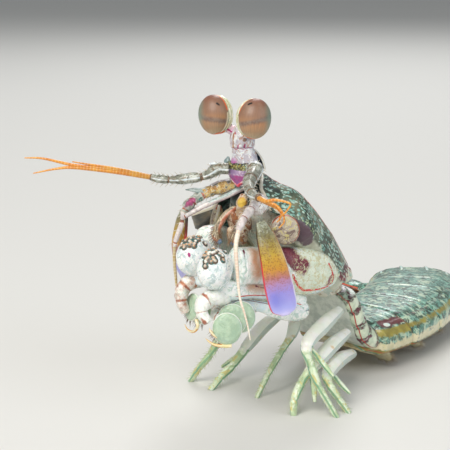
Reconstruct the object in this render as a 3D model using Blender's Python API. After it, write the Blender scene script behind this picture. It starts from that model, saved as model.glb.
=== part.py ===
"""Life-size solid of a smashing mantis shrimp, reared up on its legs with its claws folded.

Lengths are in millimetres while the shapes are worked out and in metres in the scene, +Z up.
The animal faces -Y, its left side is +X and its tail runs to +Y.
"""

import math

import bmesh
import bpy
import numpy as np

MM = 0.001
GAP = 0.34  # clear space left between two nodes
SKIN = 0.55  # thickness of the shell and of the thin plates
SHIFT = (5.91, -20.17, 0.0)  # puts the middle of the finished box over the origin
PITCH = math.radians(45)  # slope of the raised front of the body
VIEW = np.array([0.655, -0.727, 0.208])  # the way the flat discs and plates of the left side face

COLOURS = {
    "shell_teal": (0.16, 0.34, 0.31),
    "shell_maroon": (0.36, 0.13, 0.13),
    "flesh_white": (0.82, 0.80, 0.78),
    "pale_green": (0.62, 0.68, 0.52),
    "leg_green": (0.55, 0.70, 0.42),
    "orange": (0.85, 0.45, 0.08),
    "eye_tan": (0.66, 0.42, 0.32),
    "scale_orange": (0.78, 0.52, 0.14),
}


def clear_scene():
    """Removes everything from the startup scene."""
    for obj in list(bpy.data.objects):
        bpy.data.objects.remove(obj, do_unlink=True)


def unit(vector):
    """The vector at length one."""
    vector = np.array(vector, float)
    return vector / np.linalg.norm(vector)


def fore(s, x, n):
    """A point of the raised front body: s runs back along it, n up out of its back."""
    c, d = math.cos(PITCH), math.sin(PITCH)
    return np.array([x, s * c + n * d, n * c - s * d])


def curve_through(points, count):
    """Points at even steps of a smooth line through the given ones (Catmull-Rom)."""
    points = np.array(points, float)
    if len(points) == 2:
        return np.linspace(points[0], points[1], count)
    ends = [2 * points[0] - points[1], 2 * points[-1] - points[-2]]
    padded = np.vstack([ends[0], points, ends[1]])
    out = []
    for t in np.linspace(0, len(points) - 1, count):
        i = min(int(t), len(points) - 2)
        f = t - i
        a, b, c, d = padded[i : i + 4]
        out.append(
            0.5 * (2 * b + (c - a) * f + (2 * a - 5 * b + 4 * c - d) * f**2
                   + (3 * b - a - 3 * c + d) * f**3)
        )
    return np.array(out)


def spread(values, count):
    """The values at even steps, read off at count places."""
    return np.interp(np.linspace(0, 1, count), np.linspace(0, 1, len(values)), values)


def add_mesh(name, points, faces, colour="flesh_white"):
    """A mesh object from points in millimetres, with its faces turned outwards."""
    mesh = bpy.data.meshes.new(name)
    mesh.from_pydata([tuple(p * MM) for p in np.array(points, float) + SHIFT], [], faces)
    work = bmesh.new()
    work.from_mesh(mesh)
    bmesh.ops.recalc_face_normals(work, faces=work.faces)
    if work.calc_volume(signed=True) < 0:
        bmesh.ops.reverse_faces(work, faces=work.faces)
    work.to_mesh(mesh)
    work.free()
    mesh.polygons.foreach_set("use_smooth", [True] * len(mesh.polygons))
    obj = bpy.data.objects.new(name, mesh)
    bpy.context.scene.collection.objects.link(obj)
    paint(obj, colour)
    return obj


def paint(obj, colour):
    """Gives the object its own plain material."""
    material = bpy.data.materials.new(obj.name)
    material.use_nodes = True
    shader = material.node_tree.nodes["Principled BSDF"]
    shader.inputs["Base Color"].default_value = (*COLOURS[colour], 1)
    shader.inputs["Roughness"].default_value = 0.35
    obj.data.materials.clear()
    obj.data.materials.append(material)


def loft(name, rings, colour="flesh_white", bulge=0.0):
    """A closed solid through a row of rings of points, its two ends drawn to a middle point."""
    rings = [np.array(ring, float) for ring in rings]
    around = len(rings[0])
    points = [p for ring in rings for p in ring]
    faces = []
    for i in range(len(rings) - 1):
        for j in range(around):
            k = (j + 1) % around
            a = i * around
            b = a + around
            faces.append((a + j, a + k, b + k, b + j))
    bulges = bulge if isinstance(bulge, tuple) else (bulge, bulge)
    ends = ((rings[0], rings[1], 0, bulges[0]), (rings[-1], rings[-2], len(points) - around, bulges[1]))
    for ring, other, base, out in ends:
        middle = ring.mean(axis=0)
        away = middle - other.mean(axis=0)
        points.append(middle + unit(away) * out)
        tip = len(points) - 1
        faces += [(base + j, base + (j + 1) % around, tip) for j in range(around)]
    return add_mesh(name, points, faces, colour)


def tube(name, path, widths, heights=None, up=(0, 0, 1), colour="flesh_white",
         steps=None, sides=10, square=1.0, bulge=0.12, bend=0.0):
    """A limb along a smooth path: half widths across it, half heights towards up."""
    heights = widths if heights is None else heights
    steps = steps or 2 * len(path)
    line = curve_through(path, steps)
    half_wide, half_high = spread(widths, steps), spread(heights, steps)
    rings = []
    for i, middle in enumerate(line):
        along = unit(line[min(i + 1, steps - 1)] - line[max(i - 1, 0)])
        side = unit(np.cross(along, up))
        lift = np.cross(side, along)
        ring = []
        for turn in np.linspace(0, 2 * math.pi, sides, endpoint=False):
            c, s = math.cos(turn), math.sin(turn)
            c, s = math.copysign(abs(c) ** square, c), math.copysign(abs(s) ** square, s)
            ring.append(
                middle + side * half_wide[i] * c + lift * (half_high[i] * s - bend * c * c)
            )
        rings.append(ring)
    return loft(name, rings, colour, bulge)


def ball(name, centre, radii, axis=(0, 0, 1), up=(0, 1, 0.01), colour="flesh_white", rows=7,
         sides=12, low=-72, high=72):
    """An egg, or a slice of one from low to high degrees: radii across, towards up, along the axis."""
    axis = unit(axis)
    side = unit(np.cross(axis, up))
    lift = np.cross(side, axis)
    rings = []
    for tilt in np.linspace(low, high, rows):
        c, s = math.cos(math.radians(tilt)), math.sin(math.radians(tilt))
        turns = np.linspace(0, 2 * math.pi, sides, endpoint=False)
        rings.append([
            np.array(centre) + axis * s * radii[2]
            + c * (side * radii[0] * math.cos(t) + lift * radii[1] * math.sin(t))
            for t in turns
        ])
    cap = radii[2] * (1 - math.sin(math.radians(72)))
    return loft(name, rings, colour, (cap if low == -72 else 0, cap if high == 72 else 0))


def disc(name, centre, radii, normal, up=(0, 0, 1), thick=SKIN, colour="pale_green", sides=18):
    """A round plate with a rounded rim."""
    normal = unit(normal)
    side = unit(np.cross(up, normal))
    lift = np.cross(normal, side)
    rings = []
    for part, depth in ((0.86, -0.5), (1.0, -0.22), (1.0, 0.22), (0.86, 0.5)):
        turns = np.linspace(0, 2 * math.pi, sides, endpoint=False)
        rings.append([
            np.array(centre) + normal * depth * thick
            + part * (side * radii[0] * math.cos(t) + lift * radii[1] * math.sin(t))
            for t in turns
        ])
    return loft(name, rings, colour)


def bake(obj):
    """Makes the object's modifiers part of its mesh."""
    graph = bpy.context.evaluated_depsgraph_get()
    mesh = bpy.data.meshes.new_from_object(obj.evaluated_get(graph))
    obj.modifiers.clear()
    obj.data = mesh
    mesh.polygons.foreach_set("use_smooth", [True] * len(mesh.polygons))


def keep_largest(obj):
    """Removes every closed surface of the mesh but the largest."""
    work = bmesh.new()
    work.from_mesh(obj.data)
    left, groups = set(work.faces), []
    while left:
        start = left.pop()
        group, edge = [start], [start]
        while edge:
            face = edge.pop()
            for line in face.edges:
                for other in line.link_faces:
                    if other in left:
                        left.discard(other)
                        group.append(other)
                        edge.append(other)
        groups.append(group)
    groups.sort(key=lambda group: sum(face.calc_area() for face in group))
    small = [face for group in groups[:-1] for face in group]
    bmesh.ops.delete(work, geom=small, context="FACES")
    bmesh.ops.delete(work, geom=[v for v in work.verts if not v.link_faces], context="VERTS")
    work.to_mesh(obj.data)
    work.free()


def boolean(obj, others, operation, solver="EXACT"):
    """Joins the others to the object or cuts them from it, and removes them."""
    group = bpy.data.collections.new("tools")
    bpy.context.scene.collection.children.link(group)
    for other in others:
        group.objects.link(other)
    change = obj.modifiers.new("boolean", "BOOLEAN")
    change.operand_type = "COLLECTION"
    change.collection = group
    change.operation = operation
    change.solver = solver
    bake(obj)
    for other in list(others):
        bpy.data.objects.remove(other, do_unlink=True)
    bpy.data.collections.remove(group)
    keep_largest(obj)
    return obj


def join(obj, *others):
    """One solid from several that overlap."""
    return boolean(obj, others, "UNION")


def grown(obj, by):
    """A copy of the object, larger by this many millimetres all round."""
    copy = bpy.data.objects.new(obj.name + "_grown", obj.data.copy())
    bpy.context.scene.collection.objects.link(copy)
    work = bmesh.new()
    work.from_mesh(copy.data)
    work.normal_update()
    moves = [(vert, vert.normal * vert.calc_shell_factor() * by * MM) for vert in work.verts]
    for vert, move in moves:
        if move.length > 2 * by * MM:
            move.length = 2 * by * MM
        vert.co += move
    work.to_mesh(copy.data)
    work.free()
    return copy


def clear_of(obj, *others, gap=GAP):
    """Cuts the object back so that it stays this far from the others."""
    return boolean(obj, [grown(other, gap) for other in others], "DIFFERENCE")


def cut_floor(obj):
    """Cuts off what is below the floor, which leaves a small flat to stand on."""
    low = 5.0
    points = [(x, y, z) for x in (-60, 60) for y in (-60, 80) for z in (-low, 0)]
    faces = [(0, 1, 3, 2), (4, 6, 7, 5), (0, 4, 5, 1), (2, 3, 7, 6), (0, 2, 6, 4), (1, 5, 7, 3)]
    block = add_mesh("floor_block", np.array(points, float), faces)
    return boolean(obj, [block], "DIFFERENCE")


def mirrored(points, shift=(0, 0, 0)):
    """The same points on the animal's right side."""
    return [(-p[0] + shift[0], p[1] + shift[1], p[2] + shift[2]) for p in points]


# The carapace is a thin shell: a flat back, a groove along each side and two wings that hang down.
CARAPACE_BACK = 16.7
CARAPACE_FRONT_S = -14.4
CARAPACE_REAR_S = 0.6
CARAPACE_COLUMNS = 19
CARAPACE_STATIONS = 10


def carapace_profile(u, side):
    """Half profile at u (0 front, 1 rear) from the midline to the margin, as (x, drop)."""
    wing = 5.4 if side < 0 else 3.4
    flare = 6.6 if side < 0 else 5.5
    front = [(0, 0), (1.3, 0.02), (2.3, 0.2), (3.0, 0.85), (3.6, 1.9), (4.1, 2.9)]
    second = [(0, 0), (1.9, 0.02), (3.4, 0.3), (4.35, 1.3), (0.5 * (4.6 + flare), 0.62 * wing),
              (flare, wing)]
    middle = [(0, 0), (2.1, 0.04), (3.8, 0.35), (4.7, 1.2), (5.1, 2.2), (5.3, 3.15)]
    rear = [(0, 0), (2.0, 0.08), (3.6, 0.5), (4.5, 1.2), (4.9, 2.1), (5.05, 2.95)]
    stations = [0.0, 0.2, 0.6, 1.0]
    table = np.array([front, second, middle, rear])
    out = np.empty((6, 2))
    for i in range(6):
        for j in range(2):
            out[i, j] = np.interp(u, stations, table[:, i, j])
    return curve_through(out, CARAPACE_COLUMNS // 2 + 1)


def build_carapace():
    half = CARAPACE_COLUMNS // 2
    outer, inner = [], []
    for i in range(CARAPACE_STATIONS):
        u = i / (CARAPACE_STATIONS - 1)
        left, right = carapace_profile(u, 1), carapace_profile(u, -1)
        profile = [(-x, n) for x, n in right[:0:-1]] + [(x, n) for x, n in left]
        row = []
        for j, (x, drop) in enumerate(profile):
            v = (j - half) / half
            front = CARAPACE_FRONT_S + 2.6 * abs(v) ** 2.6
            rear = CARAPACE_REAR_S - 2.1 * abs(v) ** 2.6
            groove = 0.14 * math.exp(-(((abs(v) - 0.55) / 0.06) ** 2)) * math.sin(math.pi * u) ** 0.5
            dome = 0.45 * math.sin(math.pi * min(u + 0.08, 1)) + 0.16 * math.exp(-(((u - 0.28) / 0.2) ** 2))
            row.append(fore(front + u * (rear - front), x, CARAPACE_BACK + dome - drop - groove))
        outer.append(row)
    outer = np.array(outer)
    du, dv = np.gradient(outer, axis=0), np.gradient(outer, axis=1)
    normals = np.cross(dv, du)
    normals /= np.linalg.norm(normals, axis=2, keepdims=True)
    if normals[CARAPACE_STATIONS // 2, half, 2] < 0:
        normals = -normals
    inner = outer - normals * SKIN
    return add_sheet("carapace", outer, inner, "shell_teal")


def add_sheet(name, outer, inner, colour):
    """A closed solid between two matching grids of points."""
    rows, cols = outer.shape[:2]
    points = np.vstack([outer.reshape(-1, 3), inner.reshape(-1, 3)])
    other = rows * cols
    faces = []
    for i in range(rows - 1):
        for j in range(cols - 1):
            a = i * cols + j
            quad = (a, a + 1, a + cols + 1, a + cols)
            faces.append(quad)
            faces.append(tuple(q + other for q in reversed(quad)))
    rim = [j for j in range(cols)] + [i * cols + cols - 1 for i in range(1, rows)]
    rim += [(rows - 1) * cols + j for j in range(cols - 2, -1, -1)]
    rim += [i * cols for i in range(rows - 2, 0, -1)]
    for a, b in zip(rim, rim[1:] + rim[:1]):
        faces.append((a, a + other, b + other, b))
    return add_mesh(name, points, faces, colour)


def build_rostral_plate():
    """The short broad plate hinged to the front of the carapace, standing up behind the neck."""
    rows, cols = 6, 9
    outer = np.empty((rows, cols, 3))
    for i in range(rows):
        u = i / (rows - 1)
        half = 1.9 * math.sqrt(max(1 - (0.93 * u) ** 2.4, 0))
        for j in range(cols):
            v = 2 * j / (cols - 1) - 1
            outer[i, j] = (half * v, 1.55 - 0.35 * u - 0.3 * (half * v / 1.9) ** 2, 22.45 + 2.3 * u)
    return add_sheet("rostral_plate", outer, outer - np.array([0, 0.5, 0.0]), "shell_teal")


def build_head():
    """The body under the carapace, from behind the antennae to the last covered somite."""
    path = [fore(s, 0, n) for s, n in ((-13.7, 14.3), (-11.5, 14.1), (-7.0, 13.9), (-2.0, 14.0),
                                       (0.45, 14.1))]
    return tube("head", path, [1.9, 3.1, 3.5, 3.6, 3.5], [1.3, 1.6, 1.55, 1.5, 1.4],
                up=fore(0, 0, 1), steps=8, sides=14)


def build_antennular_somite():
    band = tube("antennular_somite", [(0, 0.25, 22.45), (0, -0.25, 21.85), (0, -0.45, 20.9),
                                      (0, -0.5, 20.35)],
                [1.55, 1.5, 0.9, 0.35], [0.75, 0.8, 0.55, 0.3], up=(0, -1, 0), steps=6, sides=12)
    return band


def build_ocular_somite():
    """The column that carries both eyes."""
    return tube("ocular_somite", [(-0.1, -0.25, 23.42), (-0.15, -0.3, 23.9), (-0.2, -0.35, 25.0),
                                  (-0.2, -0.35, 25.6)],
                [1.25, 1.1, 0.92, 0.8], [0.8, 0.75, 0.65, 0.6], up=(0, -1, 0), steps=7, sides=12)


EYE_LEFT = np.array([2.45, -1.5, 27.42])
EYE_RIGHT = np.array([-2.5, -1.45, 27.35])
EYE_LEFT_AXIS = unit([0.86, -0.50, 0.10])
EYE_RIGHT_AXIS = unit([0.10, -0.99, 0.10])


def build_eye(side, centre, axis, up, neck):
    """The cornea, and behind it the cup of the short stalk that carries it."""
    radii = (1.5, 1.82, 1.3)
    eye = ball("eye_" + side, centre, radii, axis, up, "eye_tan", rows=6, sides=16, low=-9)
    cup = ball("eyestalk_" + side, centre - axis * 0.42, (1.44, 1.75, 1.35), -axis, up, rows=6,
               sides=16, low=-30)
    root = np.array([0.28 if side == "l" else -0.7, -0.3, 26.15])
    back = centre - axis * 1.2
    stem = tube("stem", [root, 0.5 * (root + back) - axis * 0.1, back], [0.45, 0.6, 0.62], up=(0, 0, 1),
                steps=4, sides=8)
    join(cup, stem)
    clear_of(cup, eye, neck, gap=0.31)


def build_antennule(side, path, branches):
    peduncle = tube("antennule_" + side, path, [0.46, 0.5, 0.36, 0.42, 0.3, 0.36, 0.3], up=(0, 0, 1),
                    steps=13, sides=8)
    whips = [
        tube("whip", branch, [0.27, 0.25, 0.2, 0.12], up=(0, 0.1, 1), steps=2 * len(branch), sides=5,
             bulge=0.05)
        for branch in branches
    ]
    whips[0].name = "antennule_flagella_" + side
    return peduncle, join(*whips)


def build_antenna(side, protopod, endopod, whip, head):
    base = tube("antenna_" + side, protopod, [0.75, 0.95, 0.85, 0.6], [0.7, 0.85, 0.7, 0.5], steps=7,
                sides=10)
    arm = tube("arm", endopod, [0.5, 0.42, 0.5, 0.4, 0.42, 0.3], steps=9, sides=7)
    join(base, arm)
    clear_of(base, head)
    whip = tube("antenna_flagellum_" + side, whip, [0.26, 0.26, 0.25, 0.2, 0.12], up=(0, 1, 0.1),
                steps=12, sides=6)
    return base, whip


def build_scale(side, path, normal):
    widths = [0.45, 0.9, 1.2, 1.4, 1.38, 1.1, 0.45]
    return tube("antenna_scale_" + side, path, widths, [0.29, 0.3, 0.3, 0.3, 0.28, 0.27, 0.26], up=normal,
                colour="scale_orange", steps=13, sides=12, square=0.75, bulge=0.05)


def build_claw(side, merus, carpus, propodus, dactyl, carapace, head):
    """The folded smashing claw: big merus lobe, knobbed carpus, propodus and club."""
    out = -1 if side == "r" else 1
    lobe = tube("claw_merus_" + side, merus, [0.7, 1.15, 1.3, 1.2, 1.1, 0.85],
                [0.9, 1.85, 2.2, 1.75, 1.6, 1.2],
                steps=10, sides=12, square=0.85, bulge=0.3)
    wrist = ball("claw_carpus_" + side, carpus, (1.5, 1.85, 1.9), (0.2 * out, -1, 0.1), (0, 0, 1), rows=6,
                 sides=12)
    knobs = [(0.1, 0.35, 1.55), (0.8, 0.2, 1.25), (-0.6, 0.3, 1.35), (0.4, -0.7, 1.35), (0.2, 1.05, 1.2),
             (-0.4, -0.9, 1.1)]
    bumps = [
        ball("knob", np.array(carpus) + np.array([x * out, y, z]), (0.4, 0.4, 0.44), rows=3, sides=5)
        for x, y, z in knobs
    ]
    join(wrist, *bumps)
    hand = tube("claw_propodus_" + side, propodus, [0.75, 0.85, 0.8, 0.75, 0.65],
                [0.7, 0.72, 0.66, 0.66, 0.6],
                steps=8, sides=10, square=0.8)
    club = tube("claw_dactyl_" + side, dactyl, [0.75, 0.85, 0.55, 0.4, 0.3, 0.16],
                [0.75, 0.95, 0.65, 0.42, 0.32, 0.16],
                steps=11, sides=10, bulge=0.2)
    clear_of(club, hand, lobe)
    clear_of(hand, lobe, wrist)
    clear_of(wrist, lobe)
    clear_of(lobe, carapace, head)
    return lobe, wrist, hand, club


def build_maxilliped(name, arm, centre, hook, normal, radii=(1.38, 1.3)):
    """A slender limb that ends in a round plate with a hooked claw folded along its rim."""
    plate = disc("plate", centre, radii, normal, sides=12)
    across = unit(np.cross((0, 0, 1), normal))
    lift = np.cross(unit(normal), across)
    line = [np.array(centre) + across * x + lift * z for x, z in hook]
    claw = tube("hook", line, [0.26, 0.26, 0.24, 0.22, 0.14], steps=6, sides=5, bulge=0.05)
    limb = tube(name, arm, [0.36, 0.42, 0.36, 0.45, 0.42], up=(0.1, 0, 1), steps=7, sides=6)
    return boolean(limb, [plate, claw], "UNION", "MANIFOLD")


def build_leg(name, points, branch, radii):
    """A walking leg down to its tip, with the thin side branch that comes off its base."""
    limb = tube(name, points, radii, [r * 0.85 for r in radii], steps=12, sides=8, colour="leg_green")
    twig = tube("branch", branch, [0.28, 0.27, 0.26, 0.2], steps=4, sides=5, colour="leg_green")
    join(limb, twig)
    return cut_floor(limb)


# The middle line of the trunk from the end of the carapace to the tail, as (x, y, z).
TRUNK = [(0, 10.7, 9.35), (0, 11.7, 7.6), (0, 12.35, 5.9), (0, 13.3, 4.3), (0, 15.6, 3.4), (-0.2, 20.8, 3.2),
         (-1.2, 26.2, 3.15), (-3.1, 31.4, 3.05), (-5.7, 36.2, 2.8), (-8.8, 40.6, 2.4), (-12.3, 44.6, 1.95)]
# Along the trunk, in mm: where each somite starts and ends, and its half width and half height.
SOMITES = [
    ("thorax_5", 0.45, 2.1, 4.4, 1.7), ("thorax_6", 2.1, 3.8, 4.6, 1.75),
    ("thorax_7", 3.8, 5.4, 4.8, 1.85), ("thorax_8", 5.4, 7.0, 5.0, 1.95),
    ("abdomen_1", 7.0, 11.9, 5.4, 2.2), ("abdomen_2", 11.9, 17.1, 5.6, 2.3),
    ("abdomen_3", 17.1, 22.3, 5.6, 2.3), ("abdomen_4", 22.3, 27.4, 5.5, 2.25),
    ("abdomen_5", 27.4, 32.3, 5.3, 2.15), ("abdomen_6", 32.3, 36.0, 4.9, 1.95),
]
TELSON_START = 36.7


def trunk_frame(along):
    """Point, forward direction, side and up of the trunk at a distance along it."""
    line = curve_through(TRUNK, 220)
    lengths = np.concatenate([[0], np.cumsum(np.linalg.norm(np.diff(line, axis=0), axis=1))])
    point = np.array([np.interp(along, lengths, line[:, k]) for k in range(3)])
    ahead = np.array([np.interp(along + 0.4, lengths, line[:, k]) for k in range(3)])
    behind = np.array([np.interp(along - 0.4, lengths, line[:, k]) for k in range(3)])
    if along < 0.4:
        behind = point
    tangent = unit(ahead - behind)
    side = unit(np.cross(tangent, (0, 0, 1)))
    return point, tangent, side, np.cross(side, tangent)


def somite_ring(along, wide, high, sweep, count=16):
    """One outline of a somite: arched back, sides that turn down to an edge, flat belly."""
    point, tangent, side, up = trunk_frame(along)
    ring = []
    for turn in np.linspace(-math.pi / 2, 1.5 * math.pi, count, endpoint=False):
        c, s = math.cos(turn), math.sin(turn)
        x = math.copysign(abs(c) ** 0.72, c)
        z = math.copysign(abs(s) ** (0.9 if s > 0 else 0.75), s)
        z *= 1.0 if s > 0 else (0.55 + 0.45 * abs(x) ** 2)
        back = sweep * max(abs(x) - 0.55, 0) * (1 - s) * 0.9
        ring.append(point + side * x * wide + up * z * high + tangent * back)
    return ring


def build_somite(name, start, end, wide, high):
    sweep = 1.15 if name.startswith("abdomen") else 0.5
    shape = [(0.0, 0.9), (0.1, 0.965), (0.5, 1.0), (0.9, 0.985), (1.0, 0.95)]
    span = end - start - GAP - (0.5 if name in ("thorax_7", "thorax_8") else 0.14)
    colour = "shell_maroon" if name.startswith("thorax") else "shell_teal"
    lead = -1.5 if name == "thorax_5" else sweep
    rings = [somite_ring(start + f * span, wide * k, high * k, lead + f * (sweep - lead)) for f, k in shape]
    return loft(name, rings, colour)


def add_pleopods(somite, start, end, wide, high):
    """The leaf-like swimming limbs under the belly, one pair to a somite."""
    point, tangent, side, up = trunk_frame(0.5 * (start + end) - 0.6)
    leaves = []
    for way in (-1, 1):
        root = point + side * way * wide * 0.52 - up * high * 0.35
        tip = root + tangent * 2.3 - up * (root[2] - 0.95)
        leaves.append(tube("leaf", [root, 0.5 * (root + tip), tip], [1.1, 1.45, 1.15, 0.5],
                           [0.3, 0.3, 0.27, 0.25],
                           up=up * 0.6 + tangent, steps=4, sides=6))
    return join(somite, *leaves)


def build_thorax_and_abdomen(head):
    nodes = {}
    for name, start, end, wide, high in SOMITES:
        node = build_somite(name, start, end, wide, high)
        if name.startswith("abdomen") and name != "abdomen_6":
            add_pleopods(node, start, end, wide, high)
        if name == "abdomen_6":
            add_carinae(node, start, end, wide, high)
        if name == "thorax_5":
            clear_of(node, head)
        nodes[name] = node
    return nodes


def add_carinae(somite, start, end, wide, high):
    """Four low keels, each ending in a short spine, on the last somite."""
    keels = []
    for part in (-0.78, -0.3, 0.3, 0.78):
        line = []
        for f in (0.25, 0.6, 1.02):
            point, tangent, side, up = trunk_frame(start + f * (end - start))
            rise = high * (1 - abs(part) ** 2.6) ** 0.6
            line.append(point + side * part * wide + up * (rise - 0.1) + tangent * (0.7 if f > 1 else 0))
        keels.append(tube("keel", line, [0.27, 0.3, 0.26, 0.1], [0.3, 0.34, 0.3, 0.1], steps=3, sides=5))
    return join(somite, *keels)


TELSON_LONG = 9.6
TELSON_HALF = 4.75


def telson_edge(v):
    """How far back the tail plate reaches at v, from -1 to 1 across: three pairs of teeth and a notch."""
    base = TELSON_LONG * (1 - 0.42 * abs(v) ** 2.2)
    teeth = sum(1.5 * math.exp(-(((abs(v) - at) / 0.055) ** 2)) for at in (0.2, 0.56, 0.88))
    notch = 1.0 * math.exp(-((v / 0.07) ** 2))
    return base - 1.2 + teeth - notch


def build_telson():
    point, tangent, side, up = trunk_frame(TELSON_START)
    tangent = unit(tangent * (1, 1, 0) + np.array([0, 0, -0.235]))
    side = unit(np.cross(tangent, (0, 0, 1)))
    up = np.cross(side, tangent)
    rows, cols = 5, 31
    outer, inner = np.empty((rows, cols, 3)), np.empty((rows, cols, 3))
    for j in range(cols):
        v = 2 * j / (cols - 1) - 1
        for i in range(rows):
            u = i / (rows - 1)
            half = TELSON_HALF * (0.86 + 0.5 * u - 0.42 * u * u - 0.16 * u**3)
            thick = 0.6 + 1.15 * (1 - abs(v) ** 2.4) * (1 - u) ** 0.6
            keel = sum(h * math.exp(-(((abs(v) - at) / 0.05) ** 2)) for at,
                       h in ((0, 0.55), (0.3, 0.38), (0.62, 0.34), (0.92, 0.25)))
            keel *= math.sin(math.pi * min(max(u * 1.05, 0.02), 0.98)) ** 0.5
            base = point + tangent * u * telson_edge(v) + side * v * half
            outer[i, j] = base + up * (thick * 0.62 + keel)
            inner[i, j] = base - up * (thick * 0.38 + 0.05)
    return cut_floor(add_sheet("telson", outer, inner, "shell_teal"))


def build_uropod(name, way, last):
    """The tail fan of one side: root with a forked spine, outer blade in two pieces, inner blade."""
    point, tangent, side, up = trunk_frame(TELSON_START - 1.3)
    tangent, side = unit(tangent * (1, 1, 0)), unit(np.cross(unit(tangent * (1, 1, 0)), (0, 0, 1))) * way

    def at(out, back, z):
        return np.array([*(point + side * out + tangent * back)[:2], z])

    root = tube(name, [at(4.3, 0.2, 1.6), at(5.2, 1.3, 1.35), at(5.9, 2.6, 1.15)], [0.6, 0.95, 0.85],
                [0.55, 0.62, 0.5],
                steps=4, sides=8)
    fork = [
        tube("fork", [at(5.3, 2.0, 0.9), at(5.0 + k, 4.6, 0.5), at(4.8 + 1.3 * k, 6.6 - 0.5 * k, 0.3)],
             [0.42, 0.36, 0.27, 0.1], steps=4, sides=5)
        for k in (0.15, 0.95)
    ]
    outer = tube("outer", [at(5.9, 2.2, 1.2), at(7.3, 4.4, 1.2), at(8.3, 6.3, 1.0)], [0.7, 1.05, 1.15, 0.95],
                 [0.32, 0.32, 0.3], steps=4, sides=8, square=0.85)
    tip = tube("tip", [at(8.0, 5.9, 1.05), at(9.2, 8.0, 0.55), at(9.9, 9.7, 0.2)], [0.95, 1.3, 1.2, 0.5],
               [0.3, 0.27, 0.25], steps=5, sides=8, square=0.85)
    spines = [
        tube("spine", [at(7.1 + 0.45 * k, 3.9 + 0.75 * k, 1.2), at(8.1 + 0.48 * k, 4.7 + 0.82 * k, 1.15)],
             [0.27, 0.24, 0.1], steps=3, sides=4)
        for k in range(4)
    ]
    inner = tube("inner", [at(5.5, 2.3, 0.95), at(6.1, 5.0, 0.45), at(6.7, 7.9, 0.2)], [0.55, 1.0, 1.05, 0.5],
                 [0.27, 0.26, 0.25], steps=5, sides=8, square=0.85)
    join(root, outer, tip, inner, *fork, *spines)
    clear_of(root, last)
    return cut_floor(root)


def build_mouthparts():
    """Upper lip, jaws and the two small pairs of mouth limbs between the claws."""
    lip = tube("mouthparts", [(0, -1.2, 19.35), (0, -1.5, 18.8), (0, -1.35, 18.0)], [0.45, 0.6, 0.4],
               steps=5, sides=8)
    lobes = [
        ball("lobe", (x, y, z), radii, (0, -0.3, 1), (0, 1, 0.2), rows=3, sides=8)
        for x, y, z, radii in (
            (0.6, -0.95, 17.6, (0.7, 0.65, 1.1)), (-0.6, -0.95, 17.62, (0.7, 0.65, 1.1)),
            (0.5, -1.25, 16.35, (0.55, 0.55, 0.85)), (-0.52, -1.35, 16.3, (0.55, 0.6, 0.9)),
        )
    ]
    return boolean(lip, lobes, "UNION", "MANIFOLD")


def build_cheeks():
    """The rounded lobe beside each jaw, and the slender bent limb in front of it."""
    for side, way, back in (("l", 1, 0), ("r", -1, 0.6)):
        middle = (4.0, 0.2, 17.45) if way > 0 else (-3.8, 0.28, 17.35)
        disc("cheek_" + side, middle, (1.2, 1.55) if way > 0 else (1.05, 1.3), (0.75 * way, -0.62, 0.25),
             up=(-0.4 * way, -0.5, 1), thick=0.7, sides=16)
        palp = [(1.75, -1.8, 18.5), (2.2, -2.5, 17.85), (2.4, -3.1, 16.9), (2.15, -3.0, 16.3)]
        tube("maxilliped_1_" + side, [(x * way, y + back, z) for x, y, z in palp], [0.36, 0.45, 0.42, 0.3],
             [0.3, 0.34, 0.32, 0.28], steps=8, sides=8)


LEFT_WHIPS = [
    [(8.1, -7.45, 21.87), (8.9, -7.3, 21.55), (9.7, -7.0, 21.2), (10.15, -6.8, 20.6), (10.2, -6.75, 19.9),
     (9.85, -6.95, 19.3)],
    [(8.1, -7.45, 21.87), (9.3, -7.5, 21.95), (10.4, -7.3, 21.9), (10.9, -7.2, 21.4), (10.6, -7.3, 20.7)],
    [(8.1, -7.45, 21.87), (8.8, -7.1, 21.3), (9.2, -6.9, 20.8), (9.4, -6.9, 20.1)],
]
RIGHT_WHIPS = [
    [(-7.45, -7.5, 22.0), (-9.5, -9.2, 22.5), (-12.2, -11.4, 22.75), (-14.1, -13.1, 23.4),
     (-15.2, -14.1, 23.4)],
    [(-7.45, -7.5, 22.0), (-9.5, -9.25, 22.35), (-12.1, -11.5, 22.55), (-13.2, -12.6, 22.4),
     (-14.5, -13.9, 21.95)],
    [(-7.45, -7.5, 22.0), (-9.4, -9.1, 22.65), (-12.15, -11.45, 23.1)],
]


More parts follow.
